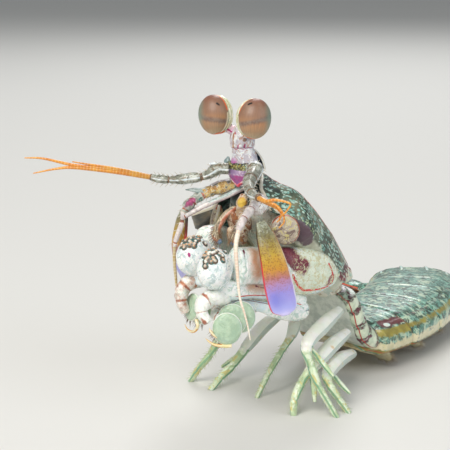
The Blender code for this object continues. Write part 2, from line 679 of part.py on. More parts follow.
def build_front_limbs(head):
    build_antennule("l", [(1.5, -0.95, 22.0), (2.4, -2.1, 22.15), (4.4, -4.5, 21.8), (5.9, -5.8, 21.4),
                          (7.7, -7.1, 21.8)], LEFT_WHIPS)
    build_antennule("r", [(-1.35, -0.9, 22.3), (-2.35, -2.85, 22.1), (-3.9, -4.35, 21.8),
                          (-5.15, -5.6, 21.45), (-7.0, -7.1, 21.9)], RIGHT_WHIPS)
    build_antenna("l", [(1.9, -0.1, 19.9), (2.7, -1.1, 19.5), (3.4, -2.3, 19.2)],
                  [(3.0, -1.9, 19.5), (3.3, -3.1, 19.5), (3.8, -4.9, 18.6), (4.1, -5.75, 17.1)],
                  [(4.2, -6.05, 16.5), (4.65, -6.3, 15.05), (5.25, -6.8, 12.4), (5.95, -6.9, 10.3),
                   (6.2, -6.9, 8.7)], head)
    build_antenna("r", [(-1.9, 0.0, 20.6), (-2.8, -1.2, 20.2), (-4.1, -2.9, 19.7)],
                  [(-3.0, -1.6, 20.0), (-4.3, -3.2, 18.3), (-5.0, -4.0, 16.9), (-5.3, -4.3, 15.5)],
                  [(-5.35, -4.4, 14.9), (-5.3, -4.6, 13.4), (-5.2, -4.3, 11.5), (-5.1, -4.1, 9.9)], head)
    build_scale("l", [(4.05, -2.85, 18.4), (4.6, -3.05, 16.9), (5.55, -2.85, 14.6), (6.3, -2.5, 12.1),
                      (6.75, -2.3, 10.5)], (0.8, -0.6, 0.05))
    build_scale("r", [(-5.3, -2.1, 18.1), (-6.1, -2.5, 17.0), (-6.5, -2.8, 15.0), (-6.2, -2.5, 12.6),
                      (-5.4, -2.0, 10.7)], (-0.8, -0.6, 0.05))


def build_middle_limbs(carapace, head):
    merus = [(5.4, 6.3, 12.0), (5.1, 4.8, 12.55), (4.5, 2.3, 13.15), (3.8, -0.6, 14.0), (3.2, -3.2, 14.4),
             (2.9, -4.5, 14.45)]
    propodus = [(2.7, -5.2, 12.25), (3.1, -2.6, 12.05), (3.6, -0.3, 11.5), (4.1, 1.4, 10.75),
                (4.5, 2.9, 10.1)]
    dactyl = [(4.65, 3.9, 9.75), (4.5, 2.7, 9.2), (4.1, 0.5, 9.5), (3.5, -1.6, 10.3), (2.9, -3.6, 11.0),
              (2.6, -4.9, 11.2)]
    build_claw("l", merus, (2.4, -6.75, 14.6), propodus, dactyl, carapace, head)
    merus = [(-5.0, 6.9, 11.9), (-4.85, 5.8, 12.4), (-4.5, 3.8, 13.1), (-3.9, 1.2, 14.0),
             (-3.0, -1.2, 14.4), (-2.6, -2.3, 14.4)]
    shift = (0.5, 2.2, 0.0)
    build_claw("r", merus, (-2.2, -4.35, 14.6), mirrored(propodus, shift), mirrored(dactyl, shift),
               carapace, head)
    for number in "345":
        arm, centre = LEFT_MAXILLIPEDS[number]
        build_maxilliped("maxilliped_%s_l" % number, arm, centre, LEFT_HOOK, VIEW)
        arm, centre = RIGHT_MAXILLIPEDS[number]
        build_maxilliped("maxilliped_%s_r" % number, arm, centre, RIGHT_HOOK, (-0.05, -0.98, 0.2))


# Each maxilliped: the way its arm runs, and the middle of its round plate.
LEFT_MAXILLIPEDS = {
    "3": ([(0.95, 0.2, 12.3), (1.0, -3.0, 11.9), (1.45, -6.4, 11.7), (1.75, -7.6, 10.9), (2.6, -7.4, 10.0)],
          (3.74, -6.75, 9.38)),
    "4": ([(0.95, 1.4, 11.6), (1.0, -1.8, 10.6), (1.3, -4.9, 10.3), (2.1, -6.2, 10.1), (2.9, -6.1, 10.0)],
          (3.69, -5.5, 9.85)),
    "5": ([(0.95, 2.6, 10.9), (1.0, 0.0, 9.6), (1.4, -2.7, 9.1), (2.3, -4.2, 9.4), (3.4, -4.4, 9.8)],
          (4.14, -3.95, 9.9)),
}
RIGHT_MAXILLIPEDS = {
    "3": ([(-0.95, 1.6, 12.3), (-0.6, -1.6, 11.75), (-0.7, -4.9, 11.5), (-1.0, -6.0, 10.8),
           (-1.5, -5.2, 9.9)],
          (-1.9, -5.05, 9.2)),
    "4": ([(-0.95, 2.6, 11.2), (-0.7, -0.4, 10.5), (-0.7, -2.6, 10.5), (-1.5, -3.8, 9.9)],
          (-2.2, -3.75, 9.2)),
    "5": ([(-0.95, 3.6, 10.5), (-0.9, 0.8, 9.5), (-1.3, -1.0, 9.0), (-2.1, -2.4, 8.9)],
          (-2.65, -2.5, 8.95)),
}
# Where each hook runs from the middle of its plate: across and up, in mm.
LEFT_HOOK = [(-1.15, 0.35), (-1.72, -0.15), (-1.45, -0.95), (-0.5, -1.45), (0.5, -1.28)]
RIGHT_HOOK = [(-0.95, 0.1), (-1.15, -0.9), (-0.6, -1.7), (0.3, -2.0)]


LEG_RADII = [0.55, 0.74, 0.78, 0.66, 0.46, 0.44, 0.4, 0.36, 0.3]


def build_legs():
    build_leg("leg_1_l", [(4.4, 8.7, 8.0), (5.2, 5.3, 7.4), (6.0, 1.9, 6.4), (6.9, 1.5, 4.6),
                          (7.8, 1.5, 2.9), (9.1, 2.6, -0.1)],
              [(6.2, 2.2, 6.0), (6.9, 2.8, 4.9), (8.3, 2.9, 3.7)], LEG_RADII)
    build_leg("leg_2_l", [(4.4, 10.0, 5.5), (5.2, 6.6, 5.1), (6.1, 2.6, 4.1), (5.8, 1.4, 2.85),
                          (5.7, 0.5, 1.4), (5.8, 0.3, -0.1)],
              [(5.9, 2.4, 4.1), (6.5, 2.3, 2.6), (7.0, 1.9, 1.2)], LEG_RADII)
    build_leg("leg_3_l", [(4.4, 10.9, 3.2), (5.4, 7.6, 3.5), (6.7, 4.2, 3.2), (7.4, 3.6, 2.5),
                          (8.3, 3.8, 1.3), (9.2, 4.3, -0.1)],
              [(6.6, 4.8, 3.2), (7.1, 5.4, 2.2), (8.0, 5.9, 1.2)], LEG_RADII)
    build_leg("leg_1_r", [(-4.3, 8.6, 7.8), (-5.1, 5.6, 6.6), (-5.5, 3.0, 4.9), (-6.1, 1.9, 3.0),
                          (-7.3, 1.4, 1.3), (-8.2, 1.2, -0.1)],
              [(-5.6, 3.2, 4.6), (-6.6, 3.4, 3.4), (-7.6, 3.3, 2.4)], LEG_RADII)
    build_leg("leg_2_r", [(-4.3, 10.1, 5.6), (-4.8, 8.2, 4.6), (-5.1, 6.0, 2.9), (-5.0, 3.9, 1.6),
                          (-4.9, 2.0, 0.8), (-4.8, 0.4, -0.1)],
              [(-5.2, 6.2, 2.7), (-6.2, 5.4, 1.7), (-7.0, 4.6, 0.9)], LEG_RADII)
    build_leg("leg_3_r", [(-2.8, 10.6, 5.1), (-1.6, 9.4, 5.3), (-0.4, 7.4, 4.8), (0.0, 5.4, 3.7),
                          (0.1, 3.3, 1.9), (0.05, 1.7, -0.1)],
              [(-0.4, 7.2, 4.6), (-0.8, 6.4, 3.3), (-1.0, 5.6, 2.2)], [0.8 * r for r in LEG_RADII])


def main():
    carapace = build_carapace()
    build_rostral_plate()
    head = build_head()
    build_antennular_somite()
    neck = build_ocular_somite()
    for side, centre, axis, lean in (("l", EYE_LEFT, EYE_LEFT_AXIS, 0.17),
                                     ("r", EYE_RIGHT, EYE_RIGHT_AXIS, -0.2)):
        build_eye(side, centre, axis, (lean * 0.743, lean * 0.669, 1), neck)
    build_front_limbs(head)
    build_mouthparts()
    build_cheeks()
    build_middle_limbs(carapace, head)
    build_legs()
    trunk = build_thorax_and_abdomen(head)
    build_telson()
    build_uropod("uropod_l", -1, trunk["abdomen_6"])
    build_uropod("uropod_r", 1, trunk["abdomen_6"])


clear_scene()
main()
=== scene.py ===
"""Looks of a life-size model of a smashing mantis shrimp, reared up on its legs with its claws folded.

Shapes are worked out in millimetres in the animal's own frame: it faces -Y, its left side is +X, its tail
runs to +Y and it stands on z = 0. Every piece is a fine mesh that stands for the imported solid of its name.
"""

import math

import bpy
import numpy as np
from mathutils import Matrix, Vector, noise


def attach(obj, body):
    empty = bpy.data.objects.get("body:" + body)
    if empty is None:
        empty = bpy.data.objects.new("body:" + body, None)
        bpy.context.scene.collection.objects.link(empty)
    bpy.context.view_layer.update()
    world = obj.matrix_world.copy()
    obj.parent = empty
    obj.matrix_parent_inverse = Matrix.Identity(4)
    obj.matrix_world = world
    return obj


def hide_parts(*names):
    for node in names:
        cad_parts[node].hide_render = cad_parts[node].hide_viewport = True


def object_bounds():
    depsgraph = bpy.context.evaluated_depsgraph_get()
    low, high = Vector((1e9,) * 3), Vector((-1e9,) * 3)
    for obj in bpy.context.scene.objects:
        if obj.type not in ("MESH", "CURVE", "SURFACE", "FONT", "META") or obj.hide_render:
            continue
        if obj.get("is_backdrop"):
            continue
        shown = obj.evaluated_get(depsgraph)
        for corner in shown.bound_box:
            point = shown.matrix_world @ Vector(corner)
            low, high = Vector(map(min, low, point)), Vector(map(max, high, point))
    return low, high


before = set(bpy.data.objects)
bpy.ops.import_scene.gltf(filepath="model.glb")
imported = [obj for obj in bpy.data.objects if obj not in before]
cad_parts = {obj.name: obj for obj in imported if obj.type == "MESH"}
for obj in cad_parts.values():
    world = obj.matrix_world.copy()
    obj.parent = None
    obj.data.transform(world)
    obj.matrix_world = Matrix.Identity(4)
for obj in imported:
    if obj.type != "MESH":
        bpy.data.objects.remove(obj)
solid_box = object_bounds()


# The stage: a wide sheet of pale matt card, a large soft box to the left of the camera, a weaker one to the
# right and a strip behind. The camera stands low in front of the animal's left side.
MM = 0.001
SHIFT = np.array([5.91, -20.17, 0.0])  # from the animal's own frame to the middle of its box, in mm
AIM = np.array([0.0, -2.72, 17.6])  # what the camera looks at, below the eyes
CAMERA_AWAY = 129.15
CAMERA_TURN, CAMERA_RISE = 42, 12
FIELD_OF_VIEW, CLIP_NEAR = 18, 2  # degrees, and mm
CARD_ACROSS = 4000
CARD_WHITE, CARD_ROUGH = "#D9D8D4", 0.85
FIBRES_PER_M, FIBRE_HIGH = 900.0, 0.2  # of the card, the second in mm
SKY, SKY_STRENGTH = "#E9EEF2", 0.32


def tint(code):
    """The linear colour of an sRGB hex code."""
    parts = [int(code[i : i + 2], 16) / 255 for i in (1, 3, 5)]
    return (*[c / 12.92 if c <= 0.04045 else ((c + 0.055) / 1.055) ** 2.4 for c in parts], 1.0)


def add(tree, kind, inputs, out=0, stops=(), **settings):
    """Adds a node with its settings and its inputs (numbers or links) and gives the socket asked for."""
    made = tree.nodes.new("ShaderNode" + kind)
    for key, value in settings.items():
        setattr(made, key, value)
    for i, (at, code) in enumerate(stops):
        stop = made.color_ramp.elements[i] if i < 2 else made.color_ramp.elements.new(at)
        stop.position, stop.color = at, tint(code)
    for key, value in inputs.items():
        if isinstance(value, bpy.types.NodeSocket):
            tree.links.new(value, made.inputs[key])
        else:
            made.inputs[key].default_value = value
    return made.outputs[out]


def direction(turn, rise):
    """The way from the animal to a place that far round it and above it, in degrees."""
    turn, rise = math.radians(turn), math.radians(rise)
    return np.array([math.sin(turn) * math.cos(rise), -math.cos(turn) * math.cos(rise), math.sin(rise)])


def face(obj, turn, rise, away):
    """Puts a camera or a lamp there, looking at the animal."""
    back = direction(turn, rise)
    obj.location = Vector((AIM + SHIFT + back * away) * MM)
    obj.rotation_euler = Vector(back).to_track_quat("Z", "Y").to_euler()
    bpy.context.scene.collection.objects.link(obj)


camera = bpy.data.objects.new("camera", bpy.data.cameras.new("camera"))
camera.data.angle = math.radians(FIELD_OF_VIEW)
camera.data.clip_start = CLIP_NEAR * MM
face(camera, CAMERA_TURN, CAMERA_RISE, CAMERA_AWAY)
bpy.context.scene.camera = camera

# Each soft box: turn, rise, mm away, mm wide and high, watts, colour.
SOFT_BOXES = {
    "key_box": (14, 46, 420, 280, 280, 1.75, "#FFFBF4"),
    "fill_box": (95, 28, 460, 300, 260, 0.5, "#EAF3FF"),
    "rim_strip": (215, 42, 420, 120, 320, 0.7, "#FFFFFF"),
}
for name, (turn, rise, away, wide, high, watts, code) in SOFT_BOXES.items():
    lamp = bpy.data.lights.new(name, "AREA")
    lamp.shape, lamp.size, lamp.size_y = "RECTANGLE", wide * MM, high * MM
    lamp.energy, lamp.color = watts, tint(code)[:3]
    face(bpy.data.objects.new(name, lamp), turn, rise, away)

world = bpy.data.worlds.new("room")
world.use_nodes = True
sky = world.node_tree.nodes["Background"].inputs
sky["Color"].default_value, sky["Strength"].default_value = tint(SKY), SKY_STRENGTH
bpy.context.scene.world = world
bpy.context.scene.view_settings.view_transform = "Standard"

card = bpy.data.meshes.new("card")
rim = [direction(a, 0) * CARD_ACROSS / 2 * MM for a in range(0, 360, 6)]
card.from_pydata([tuple(p) for p in rim], [], [list(range(len(rim)))[::-1]])
card_paint = bpy.data.materials.new("matt_card")
card_paint.use_nodes = True
card_tree = card_paint.node_tree
# Card is pressed paper pulp: dull, with a very faint fibre that breaks the light.
card_place = add(card_tree, "TexCoord", {}, "Object")
fibre = add(card_tree, "TexNoise", {"Vector": card_place, "Scale": FIBRES_PER_M, "Detail": 4.0})
lift = add(card_tree, "Bump", {"Height": fibre, "Strength": 0.05, "Distance": FIBRE_HIGH * MM})
card_shader = card_tree.nodes["Principled BSDF"]
card_shader.inputs["Base Color"].default_value = tint(CARD_WHITE)
card_shader.inputs["Roughness"].default_value = CARD_ROUGH
card_tree.links.new(lift, card_shader.inputs["Normal"])
card.materials.append(card_paint)
floor = bpy.data.objects.new("card", card)
bpy.context.scene.collection.objects.link(floor)
floor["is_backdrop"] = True


# The carapace: one thin shell of calcified cuticle over the back of the head, with a groove along each side
# and a wing that hangs down outside the jaws. It is moulted and grows back in one piece, so it has no seams.
PITCH = math.radians(45)  # slope of the raised front of the body
SKIN = 0.55  # thickness of shell and thin plates
CARAPACE_BACK = 16.7
CARAPACE_FRONT, CARAPACE_REAR = -14.4, 0.6
CARAPACE_ROWS, CARAPACE_HALF = 110, 75
SHELL_DARK, SHELL_MOSS, SHELL_TAN = "#2A352D", "#515E4C", "#87866C"
DASH_MINT, DASH_TEAL, DASH_PALE, DASH_OCHRE = "#9CC7B8", "#6A9E92", "#C6D8C9", "#B9B08C"
SHELL_MAROON, SHELL_WINE, SHELL_CREAM, SHELL_RED = "#5A1A26", "#7C2C38", "#D9D8BC", "#DD4A34"


def unit(vector):
    """The vector, or each row of vectors, at length one."""
    vector = np.asarray(vector, float)
    return vector / np.maximum(np.linalg.norm(vector, axis=-1, keepdims=True), 1e-12)


def curve_through(points, count):
    """Points at even steps of a smooth line through the given ones (Catmull-Rom)."""
    points = np.array(points, float)
    if len(points) == 2:
        return np.linspace(points[0], points[1], count)
    padded = np.vstack([2 * points[:1] - points[1:2], points, 2 * points[-1:] - points[-2:-1]])
    t = np.linspace(0, len(points) - 1, count)
    i = np.minimum(t.astype(int), len(points) - 2)
    f = (t - i)[:, None]
    a, b, c, d = (padded[i + k] for k in range(4))
    return 0.5 * (2 * b + (c - a) * f + (2 * a - 5 * b + 4 * c - d) * f**2
                  + (3 * b - a - 3 * c + d) * f**3)


def step(values, low, high):
    """0 below low, 1 above high and a smooth rise between; low may be the larger."""
    t = np.clip((np.asarray(values, float) - low) / (high - low), 0, 1)
    return t * t * (3 - 2 * t)


def hill(values, top, wide):
    """1 at the top, falling off smoothly to about a third that far to each side."""
    return np.exp(-(((values - top) / wide) ** 2))


def near(points, line, radius):
    """1 on a line of places, one half at the radius and 0 at twice that, in mm."""
    points, line = np.asarray(points, float), np.array(line, float).reshape(-1, 3)
    ends = [(a, b) for a, b in zip(line, line[1:])] or [(line[0], line[0])]
    least = np.full(points.shape[:-1], 1e9)
    for a, b in ends:
        span = b - a
        t = np.clip((points - a) @ span / max(span @ span, 1e-9), 0, 1)
        least = np.minimum(least, np.linalg.norm(points - a - t[..., None] * span, axis=-1))
    return np.clip(1 - least / (2 * radius), 0, 1)


def cloud(points, size, seed=0.0):
    """Smooth noise from about -1 to 1, with lumps of that size in mm."""
    flat = np.asarray(points, float).reshape(-1, 3) / size + seed
    return np.array([noise.noise(Vector(p)) for p in flat]).reshape(np.shape(points)[:-1])


def outward(form):
    """Turns the faces of a closed form outwards."""
    p, q = form["points"], form["quads"]
    a, b, c, d = (p[q[:, k]] - p.mean(0) for k in range(4))
    if (np.cross(b - a, c - a) * a).sum() + (np.cross(c - a, d - a) * a).sum() < 0:
        form["quads"] = q[:, ::-1]
        form["uv"] = form["uv"][:, ::-1]
        form["lids"] = [lid[::-1] for lid in form["lids"]]
    return form


def stitched(grid, wrapped=False):
    """Quads over a grid of points, and the place of each corner on the surface in mm."""
    rows, cols = grid.shape[:2]
    over = grid if not wrapped else np.concatenate([grid, grid[:, :1]], 1)
    u = np.concatenate([[0], np.cumsum(np.linalg.norm(np.diff(over, axis=1), axis=2).mean(0))])
    v = np.concatenate([[0], np.cumsum(np.linalg.norm(np.diff(grid, axis=0), axis=2).mean(1))])
    if not wrapped:
        u -= u[cols // 2]
    i, j = np.meshgrid(np.arange(rows - 1), np.arange(len(u) - 1), indexing="ij")
    corners = [(i, j), (i, j + 1), (i + 1, j + 1), (i + 1, j)]
    quads = np.stack([a * cols + b % cols for a, b in corners], -1).reshape(-1, 4)
    uv = np.stack([np.stack([u[b], v[a]], -1) for a, b in corners], 2).reshape(-1, 4, 2)
    return quads, uv


def plate(outer, inner, marks=None, rounding=0.3):
    """A thin closed plate between two matching grids, its rim rounded over that many mm. The mark edge is how
    far in from the rim a point is, and inside is 1 on the inner face."""
    outer, inner = np.asarray(outer, float), np.asarray(inner, float)
    rows, cols = outer.shape[:2]
    down = np.cumsum(np.linalg.norm(np.diff(outer, axis=0, prepend=outer[:1]), axis=2), 0)
    over = np.cumsum(np.linalg.norm(np.diff(outer, axis=1, prepend=outer[:, :1]), axis=2), 1)
    edge = np.minimum(np.minimum(down, down[-1:] - down), np.minimum(over, over[:, -1:] - over))
    round_off = np.sqrt(np.maximum(1 - (1 - np.minimum(edge / rounding, 1)) ** 2, 0.0))[..., None]
    middle, half = (outer + inner) / 2, (outer - inner) / 2 * np.maximum(round_off, 0.12)
    quads, uv = stitched(outer)
    rim = [j for j in range(cols)] + [i * cols + cols - 1 for i in range(1, rows)]
    rim += [(rows - 1) * cols + j for j in range(cols - 2, -1, -1)]
    rim += [i * cols for i in range(rows - 2, 0, -1)]
    rim, next_rim, other = np.array(rim), np.roll(rim, -1), rows * cols
    band = np.stack([rim, next_rim, next_rim + other, rim + other], -1)
    marks = {k: np.broadcast_to(np.asarray(m, float), (rows, cols)).ravel() for k, m in (marks or {}).items()}
    marks["edge"] = edge.ravel()
    marks = {k: np.concatenate([m, m]) for k, m in marks.items()}
    marks["inside"] = np.concatenate([np.zeros(other), np.ones(other)])
    return outward({
        "points": np.concatenate([(middle + half).reshape(-1, 3), (middle - half).reshape(-1, 3)]),
        "quads": np.concatenate([quads, quads[:, ::-1] + other, band[:, ::-1]]),
        "uv": np.concatenate([uv, uv[:, ::-1], np.zeros((len(band), 4, 2))]),
        "lids": [],
        "marks": marks,
    })


def build(name, forms, material):
    """One piece from its forms. Marks go to the mesh for its material; the mark raise lifts it by mm."""
    forms = forms if isinstance(forms, list) else [forms]
    names = sorted({k for f in forms for k in f["marks"]})
    start, points, quads, lids, marks = 0, [], [], [], {k: [] for k in names}
    for f in forms:
        points.append(f["points"])
        quads.append(f["quads"] + start)
        lids += [[int(k) + start for k in lid] for lid in f["lids"]]
        for k in names:
            marks[k].append(f["marks"].get(k, np.zeros(len(f["points"]))))
        start += len(f["points"])
    points, quads = np.concatenate(points), np.concatenate(quads)
    marks = {k: np.concatenate(m) for k, m in marks.items()}
    mesh = bpy.data.meshes.new(name)
    mesh.from_pydata((points + SHIFT) * MM, [], quads.tolist() + lids)
    if "raise" in marks:
        normals = np.empty(len(points) * 3, np.float32)
        mesh.vertex_normals.foreach_get("vector", normals)
        points = points + normals.reshape(-1, 3) * marks["raise"][:, None]
        mesh.vertices.foreach_set("co", ((points + SHIFT) * MM).astype(np.float32).ravel())
    layer = mesh.uv_layers.new(name="mm")
    uv = np.concatenate([f["uv"].reshape(-1, 2) for f in forms])
    uv = np.concatenate([uv, np.zeros((len(mesh.loops) - len(uv), 2))])
    layer.data.foreach_set("uv", uv.astype(np.float32).ravel())
    for k in names:
        mesh.attributes.new(k, "FLOAT", "POINT").data.foreach_set("value", marks[k].astype(np.float32))
    mesh.shade_smooth()
    mesh.materials.append(material)
    obj = bpy.data.objects.new(name + "_skin", mesh)
    bpy.context.scene.collection.objects.link(obj)
    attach(obj, "root")
    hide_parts(name)


def finish(name, code, rough, coat=0.0, glow=0.0, glow_mm=0.5):
    """A new material with its plain values on the shader's own sockets, and its surface places in mm."""
    material = bpy.data.materials.new(name)
    material.use_nodes = True
    tree = material.node_tree
    shader = tree.nodes["Principled BSDF"]
    plain = {"Base Color": tint(code), "Roughness": rough, "IOR": 1.5,
             "Coat Weight": coat, "Coat Roughness": 0.12, "Subsurface Weight": glow,
             "Subsurface Scale": glow_mm * MM, "Subsurface Radius": (1.0, 0.7, 0.5)}
    for key, value in plain.items():
        shader.inputs[key].default_value = value
    place = add(tree, "TexCoord", {}, "Object")
    place = add(tree, "VectorMath", {0: place, "Scale": 1 / MM}, operation="SCALE")
    return material, tree, shader, place


def carapace_profile(u, side):
    """Half profile at u (0 front, 1 rear) from the midline over the side fold to the tucked or spread hem."""
    wing, flare, brow, hem = side
    table = np.array([
        [(0, 0), (1.3, 0.02), (2.3, 0.2), *brow, hem[0]],
        [(0, 0), (1.9, 0.02), (3.4, 0.3), (4.35, 1.3), (0.5 * (4.6 + flare), 0.62 * wing), (flare, wing),
         hem[1]],
        [(0, 0), (2.1, 0.04), (3.8, 0.35), (4.7, 1.2), (5.1, 2.2), (5.3, 3.15), hem[2]],
        [(0, 0), (2.0, 0.08), (3.6, 0.5), (4.5, 1.2), (4.9, 2.1), (5.05, 2.95), hem[3]],
    ])
    flat = table.reshape(4, -1)
    out = np.array([np.interp(u, [0.0, 0.2, 0.6, 1.0], flat[:, k]) for k in range(14)]).reshape(7, 2)
    return curve_through(out, CARAPACE_HALF + 1)


def fore(s, x, n):
    """Places on the raised front of the body: s runs back along it, n up out of its back."""
    c, d = math.cos(PITCH), math.sin(PITCH)
    return np.stack(np.broadcast_arrays(x, s * c + n * d, n * c - s * d), -1)


# How far each side fold drops and stands out, its front corner, and below it the hem: tucked in on the left,
# spread on the right.
LEFT_SIDE = (3.4, 5.5, [(3.0, 0.85), (3.6, 1.9), (4.1, 2.9)],
             [(3.7, 3.7), (4.7, 4.9), (4.9, 4.7), (4.6, 4.1)])
RIGHT_SIDE = (3.3, 6.9, [(3.1, 0.85), (4.0, 1.85), (5.4, 2.9)],
              [(7.4, 4.2), (8.1, 4.9), (6.6, 4.7), (5.1, 4.1)])
FOLD_AT = 5 / 6  # of the half profile
DASH_WIDE, DASH_LONG = 0.23, 0.6  # mm
DASHES_GROW_TO = 4.5  # mm behind the front margin
DASHES_CLOSER = 1.1  # how many more of them there are to a mm in front of it
HOOD = 0.17  # the share of the length, from the front, over which the front margin curls down
across = np.linspace(-1, 1, 2 * CARAPACE_HALF + 1)
v = abs(across)
curl_over = step(v, 0.04, 0.36) * step(v, 0.9, 0.6) * np.where(across > 0, 1.0, 0.35)
rows = []
for u in np.linspace(0, 1, CARAPACE_ROWS):
    left, right = carapace_profile(u, LEFT_SIDE), carapace_profile(u, RIGHT_SIDE)
    x = np.concatenate([-right[:0:-1, 0], left[:, 0]])
    drop = np.concatenate([right[:0:-1, 1], left[:, 1]])
    curl = step(u, HOOD, 0.0) * curl_over
    out = np.minimum(v / FOLD_AT, 1)
    front, rear = CARAPACE_FRONT + 2.6 * out**2.6, CARAPACE_REAR - 2.1 * out**2.6
    groove = 0.16 * hill(v / FOLD_AT, 0.55, 0.05) * math.sin(math.pi * u) ** 0.5
    collar = 0.1 * hill(u, 0.93, 0.012)
    dome = 0.45 * math.sin(math.pi * min(u + 0.08, 1)) + 0.16 * hill(u, 0.28, 0.2)
    n = CARAPACE_BACK + dome - drop - groove - collar
    rows.append(fore(front + u * (rear - front) - 0.9 * curl, x, n - 2.0 * curl))
shell = np.array(rows)
normals = unit(np.cross(np.gradient(shell, axis=1), np.gradient(shell, axis=0)))
normals *= np.sign(normals[CARAPACE_ROWS // 2, CARAPACE_HALF, 2])
u, v = np.meshgrid(np.linspace(0, 1, CARAPACE_ROWS), np.linspace(-1, 1, 2 * CARAPACE_HALF + 1), indexing="ij")
rough_edge = cloud(shell, 0.9)
fold, keel = abs(v) - FOLD_AT, abs(v) - (0.07 + 0.29 * (1 - np.exp(-((u / 0.15) ** 3))))
WINE_WALL = [(4.9, 1.5, 17.4), (4.9, 2.3, 16.8), (4.8, 2.8, 16.3)]
marks = {
    "red": hill(fold, 0, 0.007) * step(u, 0.5, 0.6) * step(u, 0.93, 0.86) + hill(keel, 0, 0.013),
    "pale": step(u, 0.014, 0.006),
    "smoke": step(fold, 0.01, 0.03) * (v < 0),
    "hind": step(u + 0.06 * rough_edge, 0.7, 0.95),
    "wall": step(fold, 0.01, 0.03),
    "wine": near(shell, WINE_WALL, 0.75),
    "bar": near(shell, [(4.5, 2.0, 16.2), (5.1, 3.4, 16.5)], 0.1),
    "speck": hill(abs(v), 0.78, 0.06) * step(u, 0.36, 0.2) * step(v, -0.1, 0.1),
    "raise": 0.02 * cloud(shell, 0.35, 3.1) + 0.06 * hill(keel, 0, 0.012),
}

# Calcified cuticle, wet: dark pigment deep in a clear shell, with close rows of pale dashes where the pigment
# thins over each fold. The dashes are 0.23 mm wide and 0.6 mm long, and rounder near the front margin; the
# wax on top gives a soft gloss.
dashed_shell, tree, shader, place = finish("dashed_shell", SHELL_DARK, 0.36, coat=0.3, glow=0.08, glow_mm=0.3)
on_shell = add(tree, "UVMap", {}, uv_map="mm")
warp = add(tree, "TexNoise", {"Vector": place, "Scale": 0.8, "Detail": 2.0}, "Color")
warped = add(tree, "VectorMath", {0: warp, 1: (0.7, 0.5, 0.0), 2: on_shell}, operation="MULTIPLY_ADD")
dashes = add(tree, "VectorMath", {0: warped, 1: (1 / DASH_WIDE, 1 / DASH_LONG, 1.0)}, operation="MULTIPLY")
cell, cell_tone = (add(tree, "TexVoronoi", {"Vector": dashes, "Scale": 1.0, "Randomness": 0.9}, out)
                   for out in ("Distance", "Color"))
worn = add(tree, "TexNoise", {"Vector": place, "Scale": 0.45, "Detail": 3.0, "Roughness": 0.6})
ragged = add(tree, "TexNoise", {"Vector": place, "Scale": 1.1, "Detail": 5.0, "Roughness": 0.7})
fine = add(tree, "TexNoise", {"Vector": place, "Scale": 5.0, "Detail": 3.0, "Roughness": 0.6})
ground = add(tree, "ValToRGB", {"Fac": worn},
             stops=[(0.36, SHELL_DARK), (0.48, SHELL_MOSS), (0.62, SHELL_TAN)])
size = add(tree, "MapRange", {"Value": worn, 1: 0.3, 2: 0.7, 3: 0.42, 4: 0.58})
cell = add(tree, "Math", {0: fine, 1: 0.3, 2: cell}, operation="MULTIPLY_ADD")
size = add(tree, "Math", {0: cell, 1: size}, operation="SUBTRACT")
dash = add(tree, "MapRange", {"Value": size, 1: 0.16, 2: 0.04}, interpolation_type="SMOOTHSTEP")
tone = add(tree, "ValToRGB", {"Fac": cell_tone},
           stops=[(0.15, DASH_TEAL), (0.5, DASH_MINT), (0.75, DASH_PALE), (0.9, DASH_OCHRE)])
hind, speck, smoke, inside, wall = (add(tree, "Attribute", {}, "Fac", attribute_name=mark)
                                    for mark in ("hind", "speck", "smoke", "inside", "wall"))
blotch = add(tree, "TexNoise", {"Vector": place, "Scale": 0.62, "Detail": 3.0})
hind_tone = add(tree, "ValToRGB", {"Fac": blotch},
                stops=[(0.44, SHELL_MAROON), (0.5, SHELL_WINE), (0.54, SHELL_CREAM)])
faint = add(tree, "Math", {0: dash, 1: 0.7}, operation="MULTIPLY")
hind_dash = add(tree, "Mix", {0: faint, 6: hind_tone, 7: tone}, 2, data_type="RGBA")
reach = add(tree, "Math", {0: hind, 1: ragged}, operation="ADD")
reach = add(tree, "MapRange", {"Value": reach, 1: 0.86, 2: 1.06}, interpolation_type="SMOOTHSTEP")
fine_cell = add(tree, "TexVoronoi", {"Vector": place, "Scale": 1 / 0.25}, "Distance")
speck_tone = add(tree, "ValToRGB", {"Fac": fine_cell},
                 stops=[(0.3, "#A9C08A"), (0.42, "#3A4430"), (0.9, "#22281F")])
